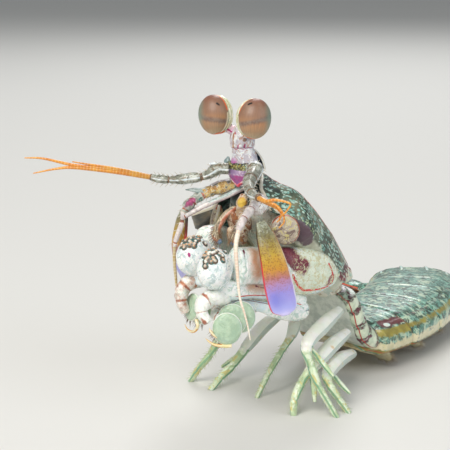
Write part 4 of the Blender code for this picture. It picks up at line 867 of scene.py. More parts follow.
# The antennae: a stout root with two arms, one of jointed segments that ends in a long whip and one that
# carries the blade. The cuticle is brown and ochre on the right side of the animal and pale grey on its left.
ANTENNAE = {
    "l": {"root": [(1.9, -0.1, 19.9), (2.7, -1.1, 19.6), (3.3, -2.1, 19.5)],
          "root_wide": [0.6, 0.85, 0.85, 0.6],
          "arm": [(3.02, -1.93, 19.6), (3.31, -3.08, 19.4), (3.67, -4.42, 18.84), (3.89, -5.27, 18.11)],
          "arm_wide": [0.55, 0.42, 0.46, 0.38, 0.34, 0.36, 0.26],
          "whip": [(3.87, -5.2, 18.15), (4.16, -5.92, 16.87), (4.67, -6.32, 14.85), (5.29, -6.68, 12.61),
                   (5.9, -6.69, 11.11), (6.26, -6.68, 10.03), (6.5, -6.65, 8.9)],
          "whip_wide": [0.22, 0.2, 0.15, 0.11, 0.09, 0.08, 0.05],
          "whip_skin": ("pink_whip", "#E6CDB8", "#F0E2D0", "#F8F2E6"),
          "skin": ("#DDDAD6", "#C9C0BC"), "flecks": [("#F4F2EE", 0.4, 0.5), ("#A48A78", 0.5, 0.36)]},
    "r": {"root": [(-1.3, 0.6, 20.8), (-2.14, -0.49, 20.59), (-2.85, -1.35, 20.33)],
          "root_wide": [0.6, 0.66, 0.66, 0.5],
          "arm": [(-2.71, -1.36, 20.31), (-3.15, -1.98, 20.01), (-3.63, -2.69, 19.53), (-4.02, -3.35, 18.92),
                  (-4.28, -3.63, 18.27), (-4.52, -3.79, 17.03), (-4.89, -4.09, 15.7), (-5.03, -4.14, 15.02)],
          "arm_wide": [0.5, 0.5, 0.42, 0.5, 0.4, 0.24, 0.26, 0.22, 0.17],
          "whip": [(-5.02, -4.14, 15.1), (-4.91, -4.28, 13.63), (-4.77, -4.24, 11.92), (-4.69, -4.17, 10.48)],
          "whip_wide": [0.17, 0.15, 0.12, 0.06],
          "whip_skin": ("tan_whip", "#B79F68", "#CDBE98", "#E2DAC0"),
          "skin": ("#D0A25A", "#B98A50"),
          "flecks": [("#EDD08A", 0.35, 0.5), ("#E3E3DA", 0.4, 0.42), ("#7E7A6C", 0.4, 0.3)]},
}
BAR = [(-0.3, 0.35, 20.68), (-1.35, -0.81, 19.89), (-2.8, -2.23, 19.01), (-3.86, -3.26, 18.27),
       (-4.3, -3.72, 17.95)]
SPINE = [(-2.6, -1.25, 20.25), (-3.39, -2.13, 20.24), (-3.95, -2.61, 20.33), (-4.47, -3.07, 20.35)]
for side, limb in ANTENNAE.items():
    skin = cuticle("antenna_cuticle_" + side, limb["skin"], 0.6, limb["flecks"],
                   [("white", "#E9E1DE", "#CFC3C2", 0.5), ("cluster", "#C3C6BC", "#838C82", 0.9),
                    ("joint", "#B4684A", "#8E5A48", 1.0), ("blue", "#8FA39F", "#C3CFCC", 0.9),
                    ("teal", "#3E6E68", "#5A8A80", 0.9), ("magenta", "#B04A78", "#7E4468", 0.9),
                    ("hair", "#C9BFAE", "#C9BFAE", 0.0)], rough=0.34, coat=0.3)
    grid, t, c, s = sweep(limb["root"], limb["root_wide"], steps=70, sides=56)
    lumps = 0.08 * cloud(grid, 0.55) + 0.04 * cloud(grid, 0.25)
    forms = [closed(grid, {"raise": lumps, "white": step(abs(s), 0.75, 0.95)}, 0.2)]
    grid, t, c, s = sweep(limb["arm"], limb["arm_wide"], steps=120, sides=40)
    joints = (0.3, 0.62) if side == "l" else (0.18, 0.34, 0.5, 0.66, 0.9)
    joint = np.max([hill(t, at, 0.016) for at in joints], axis=0)
    far = side == "r"
    cluster = step(t, 0.12, 0.2) * step(t, 0.6, 0.5) * far
    marks = {
        "joint": joint,
        "raise": (0.05 + 0.1 * far) * cloud(grid, 0.3) * step(t, 0.7, 0.5) - 0.07 * joint,
        "white": step(t, 0.5, 0.6) if far else 0.6,
        "cluster": cluster,
        "magenta": near(grid, [(-3.6, -3.2, 19.5), (-4.0, -3.6, 18.9)], 0.3),
        "teal": step(cloud(grid, 0.45, 2.0), 0.2, 0.5) * cluster,
    }
    brush = bristles(grid, range(10, 112, 9), start=5, every=9, out=0.28, lean=0.3, bend=0.06, radius=0.022)
    forms += [closed(grid, marks), brush]
    if far:  # a flat spine off the root, and the long pale bar that carries the blade
        grid, t, c, s = sweep(SPINE, [0.5, 0.42, 0.34, 0.06], [0.34, 0.3, 0.2, 0.06], steps=50, sides=36)
        forms.append(closed(grid, {"blue": step(t, 0.1, 0.3), "white": step(abs(s), 0.8, 0.95)}))
        grid, t, c, s = sweep(BAR, [0.3, 0.27, 0.24, 0.25, 0.28], steps=90, sides=32)
        marks = {"white": 1, "blue": step(s, -0.2, 0.4) * step(t, 0.7, 0.3) * 0.8,
                 "joint": hill(t, 0.94, 0.03), "magenta": step(s, -0.5, -0.9) * 0.8,
                 "raise": 0.03 * cloud(grid, 0.25)}
        forms.append(closed(grid, marks))
    build("antenna_" + side, forms, skin)
    build("antenna_flagellum_" + side, whip(limb["whip"], limb["whip_wide"]),
          whip_material(*limb["whip_skin"]))


# The antennal scales: a long leaf-shaped blade on each side, stiffened by one ridge. The near one runs from
# speckled green-white through amber to violet; its front margin is dark and then red, its hind one lavender.
SCALES = {
    "l": {"path": [(4.05, -2.5, 18.4), (4.75, -2.55, 17.1), (5.6, -2.6, 15.2), (6.2, -2.5, 13.0),
                   (6.75, -2.4, 11.0), (6.95, -2.4, 10.35)],
          "up": (0.8, -0.6, 0.05), "front": 1},
    "r": {"path": [(-5.59, -2.25, 18.07), (-5.59, -2.6, 16.88), (-5.46, -3.03, 14.96), (-4.92, -3.06, 13.12),
                   (-4.22, -2.93, 11.38)],
          "up": (-0.25, -0.95, 0.05), "front": -1},
}
SCALE_WIDE = [0.45, 0.82, 1.05, 1.25, 1.33, 1.14, 0.42]
SCALE_THICK = [0.29, 0.3, 0.3, 0.3, 0.28, 0.27, 0.26]
scale_skin, tree, shader, place = finish("scale_blade", "#D9A83A", 0.32, coat=0.3, glow=0.3, glow_mm=0.5)
down, over, heart = (add(tree, "Attribute", {}, "Fac", attribute_name=mark)
                     for mark in ("down", "over", "heart"))
ragged = add(tree, "TexNoise", {"Vector": place, "Scale": 1.3, "Detail": 4.0, "Roughness": 0.65})
fine = add(tree, "TexNoise", {"Vector": place, "Scale": 4.0, "Detail": 3.0, "Roughness": 0.6})
along = add(tree, "Math", {0: ragged, 1: 0.1, 2: down}, operation="MULTIPLY_ADD")
run = add(tree, "ValToRGB", {"Fac": along}, stops=[
    (0.08, "#A3A68E"), (0.2, "#7E7B56"), (0.3, "#9C8A44"), (0.42, "#C4A23C"), (0.53, "#CD9436"),
    (0.59, "#BA7A70"), (0.64, "#B48CB8"), (0.72, "#A095DA"), (0.86, "#A9ABE6"), (1.0, "#C9C2EC")])
speckle = add(tree, "TexVoronoi", {"Vector": place, "Scale": 1 / 0.17}, "Distance")
speckle = add(tree, "Math", {0: fine, 1: -0.7, 2: speckle}, operation="MULTIPLY_ADD")
speckle = add(tree, "MapRange", {"Value": speckle, 1: 0.16, 2: -0.04, 4: 0.6},
              interpolation_type="SMOOTHSTEP")
upper = add(tree, "MapRange", {"Value": along, 1: 0.76, 2: 0.6})
dots = add(tree, "Math", {0: speckle, 1: upper}, operation="MULTIPLY")
dot_tone = add(tree, "ValToRGB", {"Fac": along},
               stops=[(0.2, "#5A5030"), (0.45, "#96641E"), (0.66, "#A0605A")])
chalk = add(tree, "Math", {0: fine, 1: ragged}, operation="ADD")
chalk = add(tree, "MapRange", {"Value": chalk, 1: 1.02, 2: 1.16})
top = add(tree, "MapRange", {"Value": along, 1: 0.36, 2: 0.1})
chalk = add(tree, "Math", {0: chalk, 1: top}, operation="MULTIPLY")
wander = add(tree, "Math", {0: ragged, 1: 0.12, 2: over}, operation="MULTIPLY_ADD")
front_edge = add(tree, "MapRange", {"Value": wander, 1: 0.92, 2: 0.98}, interpolation_type="SMOOTHSTEP")
front_tone = add(tree, "ValToRGB", {"Fac": along},
                 stops=[(0.25, "#4A3A2A"), (0.38, "#8A3A24"), (0.5, "#CC2A32"), (0.97, "#E0607A")])
hind_edge = add(tree, "MapRange", {"Value": wander, 1: -0.78, 2: -0.86, 4: 0.85},
                interpolation_type="SMOOTHSTEP")
hind_tone = add(tree, "ValToRGB", {"Fac": along},
                stops=[(0.2, "#A8552E"), (0.4, "#D9BFA0"), (0.6, "#EFE9F2")])
colour = run
for held, tone in ((dots, dot_tone), (chalk, tint("#C3C8B4")), (heart, tint("#6F78D2")),
                   (front_edge, front_tone), (hind_edge, hind_tone)):
    colour = add(tree, "Mix", {0: held, 6: colour, 7: tone}, 2, data_type="RGBA")
height = add(tree, "Math", {0: fine, 1: speckle}, operation="ADD")
grain = add(tree, "Bump", {"Height": height, "Strength": 0.25, "Distance": 0.04 * MM})
gloss = add(tree, "MapRange", {"Value": ragged, 3: 0.24, 4: 0.42})
for socket, value in (("Base Color", colour), ("Normal", grain), ("Roughness", gloss)):
    tree.links.new(value, shader.inputs[socket])
for side, blade in SCALES.items():
    grid, t, c, s = sweep(blade["path"], SCALE_WIDE, SCALE_THICK, up=blade["up"], steps=150, sides=90,
                          square=0.75)
    side_over = c * blade["front"]
    marks = {
        "down": t, "over": side_over,
        "heart": 0.62 * hill(t, 0.71, 0.07) * hill(side_over, 0.35, 0.42),
        "raise": 0.07 * hill(side_over, 0.25, 0.12) * (1 - t) + 0.012 * cloud(grid, 0.3),
    }
    build("antenna_scale_" + side, closed(grid, marks, 0.05), scale_skin)


# The mouth: an upper lip, two jaws and two pairs of small lobes close to the middle, a jointed palp on each
# side and a rounded cheek lobe outside it. All are pale soft cuticle edged with red-brown.
mouth_skin = cuticle("mouth_cuticle", ("#B79878", "#D3C2A6"), 0.5,
                     [("#EFE8D8", 0.3, 0.45), ("#8A5A40", 0.3, 0.36)],
                     [("brown", "#7A4A34", "#A8744C", 0.7), ("amber", "#DDBB4E", "#C9923A", 0.6),
                      ("hair", "#6A4A34", "#8A6A4A", 0.0)], rough=0.34, glow=0.3)
forms = []
grid, t, c, s = sweep([(0.3, -0.5, 20.1), (0.35, -0.75, 19.4), (0.1, -0.7, 18.2)], [0.3, 0.55, 0.4],
                      steps=40, sides=36)
forms.append(closed(grid, {"amber": near(grid, [(0.7, -1.2, 19.6)], 0.5), "raise": 0.06 * cloud(grid, 0.3)}))
LOBES = [(0.6, -0.75, 17.6, (0.7, 0.6, 1.1)), (-0.6, -0.75, 17.62, (0.7, 0.6, 1.1)),
         (0.5, -1.0, 16.35, (0.55, 0.5, 0.85)), (-0.52, -1.1, 16.3, (0.55, 0.55, 0.9))]
for x, y, z, radii in LOBES:
    grid, *_ = egg((x, y, z), radii, (0, -0.3, 1), (0, 1, 0.2), -82, 82, rows=40, sides=48)
    ribs = np.sin(grid[..., 0] * 9 + grid[..., 2] * 2)
    marks = {"brown": step(abs(grid[..., 0]), 0.35, 0.05) * 0.8 + step(ribs, 0.1, 0.7) * 0.6,
             "raise": 0.04 * cloud(grid, 0.4) + 0.03 * ribs}
    forms.append(closed(grid, marks, 0.01))
    j = np.arange(2, 46, 3)
    roots = grid[12, j]
    forms.append(hairs(roots, (roots - [x, y, z]) * 0.35 + [0, -0.1, -0.5], 0.05 + 0 * roots, 0.025))
build("mouthparts", forms, mouth_skin)

palp_skin = cuticle("palp_cuticle", ("#8E8070", "#B3A184"), 0.5,
                    [("#D9CDB0", 0.35, 0.45), ("#6A5E52", 0.4, 0.36)],
                    [("margin", "#D9A48C", "#B4684A", 0.5), ("blue", "#4A6A8E", "#8FB8DC", 0.3),
                     ("hair", "#8A6A4A", "#8A6A4A", 0.0)], rough=0.3)
PALPS = {
    "l": [(1.6, -1.7, 18.6), (1.94, -2.9, 17.9), (1.9, -3.55, 17.0), (1.82, -3.75, 16.3)],
    "r": [(-0.5, -0.75, 18.85), (-0.95, -1.5, 18.25), (-1.35, -2.2, 17.1), (-1.3, -2.55, 16.3),
          (-0.85, -2.45, 15.8)],
}
for side, path in PALPS.items():
    grid, t, c, s = sweep(path, [0.3, 0.38, 0.4, 0.36, 0.28], [0.28, 0.32, 0.32, 0.3, 0.24], steps=60,
                          sides=36)
    marks = {"margin": step(abs(c), 0.75, 0.95), "blue": step(t, 0.88, 0.97),
             "raise": 0.03 * cloud(grid, 0.3)}
    roots, outs = (part[30:58:3, ::3].reshape(-1, 3) for part in (grid, grid - grid.mean(1, keepdims=True)))
    brush = hairs(roots, outs + [0, -0.1, -0.35], random.normal(0, 0.05, roots.shape), 0.022)
    build("maxilliped_1_" + side, [closed(grid, marks), brush], palp_skin)


def coin(centre, radii, normal, up, thick, square=0.4, rows=44, sides=90):
    """Rings of a round plate with a round rim, and each point's place; r is 0 in the middle, 1 at the rim."""
    normal = unit(normal)
    side = unit(np.cross(up, normal))
    lift = np.cross(normal, side)
    tilt = np.linspace(-1, 1, rows)[:, None]
    tilt = np.sign(tilt) * (1 - (1 - abs(tilt)) ** 1.6) * math.radians(89)
    turn = np.linspace(0, 2 * math.pi, sides, endpoint=False)[None]
    r = np.cos(tilt) ** square + 0 * turn
    x, y = r * np.cos(turn), r * np.sin(turn)
    grid = np.array(centre) + side * (radii[0] * x)[..., None] + lift * (radii[1] * y)[..., None]
    return grid + normal * (0.5 * thick * np.sin(tilt) + 0 * turn)[..., None], x, y, r


cheek_skin = cuticle("cheek_cuticle", ("#B9AD98", "#A08E80"), 0.7,
                     [("#D6CDB8", 0.5, 0.45), ("#C4B67A", 0.5, 0.36), ("#7E6A60", 0.45, 0.24)],
                     [("brown", "#A8482E", "#8A3A2C", 0.4), ("pale", "#D9D6C8", "#C8BFA8", 0.4)], rough=0.36)
CHEEKS = {"l": ((4.45, 0.45, 17.3), (1.35, 1.4), (-0.9, -0.5, 0.8)),  # its middle, its radii and the way up
          "r": ((-3.8, 0.28, 17.35), (1.05, 1.3), (0.4, -0.5, 1))}
for side, (centre, radii, up) in CHEEKS.items():
    way = 1 if side == "l" else -1
    grid, x, y, r = coin(centre, radii, (0.75 * way, -0.62, 0.25), up, 0.7)
    marks = {
        "brown": hill(r, 0.93, 0.045) * step(x * way, -0.5, 0.0),
        "pale": step(r, 0.97, 0.995),
        "raise": 0.16 * (1 - r**2) + 0.04 * cloud(grid, 0.35),
    }
    build("cheek_" + side, closed(grid, marks, 0.01), cheek_skin)


# The claws: on each side a big upper lobe, a knobbed wrist, a narrow hand and below it the folded club with
# its swollen heel. They are the hardest cuticle of the animal, cream white with maroon marks and red edges.
claw_skin = cuticle("claw_cuticle", ("#F4F8F4", "#DDEBE4"), 1.1,
                    [("#FBFDF9", 0.5, 0.5), ("#C9DCD2", 0.3, 0.36), ("#CDC9A4", 0.2, 0.42, "lobe")],
                    [("lobe", "#E3EBD9", "#D3DEC9", 1.4), ("flush", "#CF9C78", "#DDBBA0", 1.0, 0.5),
                     ("maroon", "#86404A", "#6A2C3C", 0.6, 0.1), ("frost", "#D3E8EE", "#E9F3F2", 0.8),
                     ("red", "#C8242C", "#D9483C", 0.3), ("wine", "#7C3440", "#8E4C54", 0.5)],
                    rough=0.26, coat=0.5, glow=0.2, relief=0.2)
MERUS_WIDE, MERUS_TALL = [0.7, 1.15, 1.3, 1.2, 1.2, 1.3], [0.9, 1.85, 2.2, 1.8, 1.7, 1.75]
FAR_MERUS_TALL = [0.9, 1.85, 2.2, 2.1, 2.15, 2.15]
MERUS_SIDES = 96
WRIST_RADII, KNOBS_OVER = (1.5, 1.85, 1.9), (1.55, 1.85, 1.85)
HAND_WIDE, HAND_TALL = [0.7, 0.85, 0.85, 0.8, 0.75, 0.65], [0.95, 0.95, 0.8, 0.75, 0.72, 0.62]
CLUB_WIDE, CLUB_TALL = [0.66, 0.78, 0.55, 0.42, 0.32, 0.16], [0.6, 0.84, 0.72, 0.5, 0.36, 0.16]
HAND = [(2.0, -6.6, 12.95), (2.6, -5.3, 12.45), (3.1, -2.6, 12.05), (3.6, -0.3, 11.5), (4.1, 1.4, 10.75),
        (4.5, 2.9, 10.1)]
CLUB = [(4.4, 2.5, 10.1), (4.5, 2.7, 9.2), (4.1, 0.5, 9.5), (3.5, -1.6, 10.3), (2.9, -3.6, 11.0),
        (2.6, -4.9, 11.2)]
FAR_SHIFT = (0.5, 2.2, 0.0)


def mirrored(points, shift=(0, 0, 0)):
    """The same places on the animal's right side."""
    return [(-x + shift[0], y + shift[1], z + shift[2]) for x, y, z in points]


CLAWS = {
    "l": {"merus": [(5.4, 6.3, 12.0), (5.1, 4.8, 12.55), (4.5, 2.3, 13.15), (3.8, -0.6, 14.0),
                    (3.2, -3.2, 14.4), (2.9, -4.5, 14.45)],
          "wrist": (2.4, -6.75, 14.6), "hand": HAND, "club": CLUB},
    "r": {"merus": [(-5.0, 6.9, 11.9), (-4.85, 5.8, 12.4), (-4.5, 3.8, 13.1), (-3.9, 1.2, 14.2),
                    (-3.0, -1.2, 14.8), (-2.5, -2.6, 14.9)],
          "wrist": (-2.2, -4.35, 14.6), "hand": mirrored(HAND, FAR_SHIFT), "club": mirrored(CLUB, FAR_SHIFT)},
}
# The marks of the big lobe, as lines over its skin and how far they spread.
MAROON = [([(4.3, 0.0, 15.7), (4.9, 0.7, 14.9), (5.5, 1.4, 14.1)], 0.9),
          ([(6.1, 5.2, 12.2), (5.95, 4.9, 11.5)], 0.45),
          ([(3.62, -4.29, 16.05), (3.85, -4.5, 15.6), (3.93, -4.89, 15.1)], 0.13)]
FLUSH = [(3.9, -3.3, 15.7), (4.35, -3.4, 14.9), (4.4, -3.1, 13.7)]
RED_RIM = [(6.14, 4.85, 13.59), (6.24, 5.19, 12.88), (6.21, 5.39, 12.26), (6.1, 5.39, 11.76),
           (5.93, 5.02, 11.42), (5.87, 4.19, 11.33), (5.69, 3.08, 11.37), (5.45, 2.05, 11.48),
           (5.37, 1.42, 11.92), (5.41, 0.93, 12.49), (5.38, 0.53, 13.21)]
KNOB_PATCH = {"l": (0.5, -0.9, 1.55), "r": (0.15, -0.6, 1.66)}  # way from the wrist to its knobs
wrist_skin = cuticle("wrist_cuticle", ("#F1F7F5", "#D6E4E6"), 0.8,
                     [("#FBFDFB", 0.5, 0.5), ("#C3D3D2", 0.3, 0.36), ("#2F6A66", 0.16, 0.42, "rings")],
                     [("patch", "#A9988A", "#6E7E78", 1.2), ("rings", "#4E3A30", "#7A5234", 0.9),
                      ("knob", "#E9EAE0", "#BE8E62", 0.7), ("magenta", "#B02A78", "#8A2A6A", 0.6)],
                     rough=0.26, coat=0.5, glow=0.2, relief=0.2)
for side, claw in CLAWS.items():
    way = 1 if side == "l" else -1
    tall = MERUS_TALL if side == "l" else FAR_MERUS_TALL
    grid, t, c, s = sweep(claw["merus"], MERUS_WIDE, tall, steps=150, sides=MERUS_SIDES, square=0.85)
    if side == "l":
        lobe_marks = {
            "maroon": np.max([near(grid, line, r) for line, r in MAROON], axis=0),
            "flush": near(grid, FLUSH, 0.55),
            "red": near(grid, RED_RIM, 0.12),
            "frost": step(s, -0.2, -0.8) * step(t, 0.5, 0.1),
            "lobe": step(t, 0.6, 0.35),
            "raise": 0.03 * cloud(grid, 0.7) + 0.05 * hill(t, 0.93, 0.012) - 0.05 * hill(s, -0.55, 0.1),
        }
        lobe_marks["maroon"] += 0.25 * cloud(grid, 1.1) * (lobe_marks["maroon"] > 0)
    marks = dict(lobe_marks)
    if side == "r":  # the same marks on the other side of the lobe, and a red ring at its front end
        marks = {mark: held[:, -np.arange(MERUS_SIDES) % MERUS_SIDES] for mark, held in lobe_marks.items()}
        marks["red"] = np.maximum(marks["red"], hill(t, 0.95, 0.009) * step(s, -0.2, 0.2))
    build("claw_merus_" + side, closed(grid, marks, 0.3), claw_skin)
    grid, x, y, z = egg(claw["wrist"], WRIST_RADII, (0.2 * way, -1, 0.1), (0, 0, 1), -84, 84, rows=90,
                        sides=110)
    places = KNOB_PATCH[side] + random.normal(0, 0.6, (30, 3))
    places = np.array(claw["wrist"]) + unit(places) * KNOBS_OVER
    far = np.linalg.norm(grid[:, :, None] - places, axis=-1).min(-1)
    marks = {
        "knob": step(far, 0.16, 0.08),
        "rings": hill(far, 0.23, 0.07),
        "patch": step(far, 0.45, 0.2),
        "magenta": near(grid, [(-1.59, -5.81, 15.2), (-1.4, -6.0, 15.0)], 0.13),
        "raise": 0.2 * hill(far, 0, 0.15) + 0.04 * cloud(grid, 0.5) - 0.06 * hill(z, -0.5, 0.05),
    }
    build("claw_carpus_" + side, closed(grid, marks, 0.01), wrist_skin)
    grid, t, c, s = sweep(claw["hand"], HAND_WIDE, HAND_TALL, steps=110, sides=64, square=0.8)
    marks = {
        "maroon": near(grid, [(3.9, -2.8, 12.55), (4.15, -2.0, 12.3)], 0.14) + 0.25 * cloud(grid, 0.6),
        "flush": near(grid, [(3.8, -3.4, 12.7), (4.15, -2.0, 12.3)], 0.45),
        "red": hill(s, -0.35, 0.08) * (c * way > 0) * step(t, 0.15, 0.3),
        "frost": step(s, 0.0, -0.6) * 0.7,
        "raise": 0.02 * cloud(grid, 0.5) + 0.06 * hill(s, -0.2, 0.12),
    }
    build("claw_propodus_" + side, closed(grid, marks, 0.25), claw_skin)
    grid, t, c, s = sweep(claw["club"], CLUB_WIDE, CLUB_TALL, steps=130, sides=56)
    marks = {"flush": step(t, 0.8, 1.0) * 0.7, "frost": step(t, 0.3, 0.7) * 0.6,
             "wine": hill(s, 0.8, 0.06) * step(t, 0.3, 0.4), "raise": 0.02 * cloud(grid, 0.4)}
    build("claw_dactyl_" + side, closed(grid, marks, 0.2), claw_skin)


# The maxillipeds: three slender limbs on each side below the claws. Each ends in a round finely grained plate
# of sage green with a thin white rim, round which a small orange hook folds, with dark bristles between.
LEFT_ARMS = {
    "3": ([(0.95, 0.2, 12.3), (1.5, -3.2, 11.9), (2.45, -5.57, 11.93), (2.26, -6.95, 12.07),
           (2.0, -7.84, 11.66), (2.13, -8.11, 10.82), (2.63, -7.88, 10.05)], (3.81, -6.69, 9.38)),
    "4": ([(0.95, 1.4, 11.6), (1.0, -1.8, 10.6), (1.3, -4.9, 10.3), (2.1, -6.2, 10.1), (2.9, -6.1, 10.0)],
          (3.49, -5.67, 9.93)),
    "5": ([(0.95, 2.6, 10.9), (1.0, 0.0, 9.6), (1.4, -2.7, 9.1), (2.3, -4.2, 9.4), (3.4, -4.4, 9.8)],
          (3.65, -4.65, 10.02)),
}
RIGHT_ARMS = {
    "3": ([(-0.95, 1.6, 12.3), (-1.6, -1.4, 12.0), (-2.33, -3.58, 12.31), (-2.44, -4.8, 12.23),
           (-2.72, -5.52, 11.57), (-2.65, -5.74, 10.58), (-2.27, -5.55, 9.57)], (-2.0, -4.92, 9.96)),
    "4": ([(-0.95, 2.6, 11.2), (-0.7, -0.4, 10.5), (-0.7, -2.6, 10.5), (-1.5, -3.8, 9.9)],
          (-2.2, -3.75, 9.3)),
    "5": ([(-0.95, 3.6, 10.5), (-0.9, 0.8, 9.5), (-1.3, -1.0, 9.0), (-2.1, -2.4, 8.9)], (-2.65, -2.5, 8.95)),
}
# The hooks run across and up from the middle of their plate.
LOW_HOOK = [(0.37, -1.51), (-0.45, -1.5), (-1.08, -1.39), (-1.54, -1.14), (-1.85, -0.86)]
RIM_HOOK = [(0.1, -1.1), (-1.0, -0.64), (-1.45, -0.2), (-1.53, 0.06)]
FOLDED_HOOK = [(-0.2, -0.9), (-0.7, -0.6), (-0.8, 0.0), (-0.4, 0.5)]  # behind the plate
FAR_HOOK = [(1.0, -1.0), (1.35, -1.55), (0.95, -2.05), (0.37, -2.2), (-0.22, -2.1), (-0.63, -1.82)]
ARM_WIDE = {"3": [0.55, 0.74, 0.8, 0.72, 0.6, 0.42]}
SLIM_ARM_WIDE = [0.42, 0.5, 0.52, 0.5, 0.48, 0.42]
BRISTLES = 36  # round each plate
MAXILLIPEDS = [("l", LEFT_ARMS, LOW_HOOK, (0.655, -0.727, 0.208), (1.33, 1.45)),
               ("r", RIGHT_ARMS, FAR_HOOK, (-0.2, -0.96, 0.2), (1.05, 1.3))]
maxilliped_skin = cuticle("maxilliped_cuticle", ("#F1F3EC", "#DDE3D8"), 0.6, [("#FAFAF4", 0.4, 0.5)],
                          [("spot", "#BE7650", "#9A5A48", 1.4, 0.3), ("disc", "#A3BCA2", "#B8CEB4", 0.2),
                           ("rim", "#F3F7F0", "#E6EDE2", 0.2), ("hook", "#E0A24A", "#D98414", 0.3),
                           ("ridge", "#F2E6C4", "#EBD9A0", 0.4), ("hair", "#5C4638", "#7C6450", 0.0)],
                          rough=0.36, coat=0.3, glow=0.25, grain_mm=0.13, relief=0.5)
for side, arms, hook, normal, radii in MAXILLIPEDS:
    across = unit(np.cross((0, 0, 1), normal))
    lift = np.cross(unit(normal), across)
    for number, (arm, centre) in arms.items():
        grid, t, c, s = sweep(arm, ARM_WIDE.get(number, SLIM_ARM_WIDE), up=(0.1, 0, 1), steps=110, sides=40)
        joint = np.max([hill(t, at, 0.02) for at in (0.3, 0.6, 0.82)], axis=0)
        spots = step(t, 0.2, 0.3) * step(cloud(grid, 0.7, 3.0), 0.2, 0.7) + step(joint, 0.2, 1.0) * 0.6
        spots = spots if side == "l" else 0.4 + 0.6 * spots
        marks = {"spot": spots, "raise": -0.06 * joint + 0.03 * cloud(grid, 0.3)}
        forms = [closed(grid, marks)]
        grid, x, y, r = coin(centre, radii, normal, (0, 0, 1), SKIN)
        grains = 0.06 * abs(cloud(grid, 0.16)) * step(r, 0.95, 0.8)
        marks = {"disc": 1, "rim": step(r, 0.93, 0.97), "raise": grains + 0.1 * (1 - r**2)}
        forms.append(closed(grid, marks, 0.01))
        bends = [(hook, 0.1)] if number == "3" else [(FOLDED_HOOK, -0.34)]
        if number == "3" and side == "l":
            bends.append((RIM_HOOK, 0.12))
        for bend, out in bends:
            line = [np.array(centre) + across * x + lift * z + unit(normal) * out for x, z in bend]
            grid, t, c, s = sweep(line, [0.17, 0.15, 0.12, 0.09, 0.03], up=normal, steps=80, sides=36)
            marks = {"hook": 1, "ridge": np.maximum(step(t, 0.4, 0.1), step(s, 0.6, 0.9))}
            forms.append(closed(grid, marks, 0.08))
        turns = random.uniform(math.pi * 1.02, math.pi * 1.48, (BRISTLES, 1))
        way = across * np.cos(turns) + lift * np.sin(turns)
        roots = np.array(centre) + way * 1.2 - unit(normal) * 0.12
        ways = way * random.uniform(0.35, 0.6, (BRISTLES, 1)) - [0, 0, 0.1]
        forms.append(hairs(roots, ways, random.normal(0, 0.06, (BRISTLES, 3)) - [0, 0, 0.08], 0.02))
        build("maxilliped_%s_%s" % (number, side), forms, maxilliped_skin)


# The trunk: four free thorax somites, low and maroon, then six broad abdomen somites of dark teal. Each is a
# calcified ring that laps over the one behind it, and joint skin closes the belly. Leaf-shaped swimming limbs
# hang below the first five of the abdomen and end in a fringe of fine hairs.
TRUNK = [(0, 10.7, 9.35), (0, 11.7, 7.6), (0, 12.35, 5.9), (0, 13.3, 4.3), (0, 15.6, 3.4), (-0.2, 20.8, 3.2),
         (-1.2, 26.2, 3.15), (-3.1, 31.4, 3.05), (-5.7, 36.2, 2.8), (-8.8, 40.6, 2.4), (-12.3, 44.6, 1.95)]
SOMITES = [  # mm along the trunk where each starts and ends, its half width and its half height
    ("thorax_5", 0.45, 2.1, 4.4, 1.7), ("thorax_6", 2.1, 3.8, 4.6, 1.75),
    ("thorax_7", 3.8, 5.4, 4.8, 1.85), ("thorax_8", 5.4, 7.0, 5.0, 1.95),
    ("abdomen_1", 7.0, 11.9, 5.4, 2.2), ("abdomen_2", 11.9, 17.1, 5.6, 2.3),
    ("abdomen_3", 17.1, 22.3, 5.6, 2.3), ("abdomen_4", 22.3, 27.4, 5.5, 2.25),
    ("abdomen_5", 27.4, 32.3, 5.3, 2.15), ("abdomen_6", 32.3, 36.0, 4.9, 1.95),
]
TELSON_START = 36.7
trunk_line = curve_through(TRUNK, 600)
trunk_long = np.concatenate([[0], np.cumsum(np.linalg.norm(np.diff(trunk_line, axis=0), axis=1))])


def on_trunk(along):
    """Places on the middle line of the trunk, and the ways along, across and up there."""
    places = [np.stack([np.interp(a, trunk_long, trunk_line[:, k]) for k in range(3)], -1)
              for a in (along, np.maximum(along - 0.4, 0), along + 0.4)]
    tangent = unit(places[2] - places[1])
    side = unit(np.cross(tangent, (0, 0, 1)))
    return places[0], tangent, side, np.cross(side, tangent)


def somite(start, end, wide, high, lean, scale, deep, sides=150):
    """Rings of a somite from start to end: arched back, sides turned down to an edge, flat belly."""
    f = np.linspace(0, 1, len(scale))
    point, tangent, side, up = (a[:, None] for a in on_trunk(start + f * (end - start)))
    turn = np.linspace(-0.5 * math.pi, 1.5 * math.pi, sides, endpoint=False)
    c, s = np.cos(turn), np.sin(turn)
    x = np.sign(c) * abs(c) ** 0.72
    z = np.where(s > 0, abs(s) ** 0.9, -deep * abs(s) ** 0.75 * (0.55 + 0.45 * abs(x) ** 2))
    back = np.asarray(lean)[:, None] * (np.maximum(abs(x) - 0.55, 0) * (1 - s) * 0.9)[None]
    grid = point + side * (scale[:, None] * x * wide)[..., None] + up * (scale[:, None] * z * high)[..., None]
    grid = grid + tangent * back[..., None]
    t = np.broadcast_to(f[:, None], grid.shape[:2])
    return grid, t, np.broadcast_to(x, grid.shape[:2]), np.broadcast_to(s, grid.shape[:2])


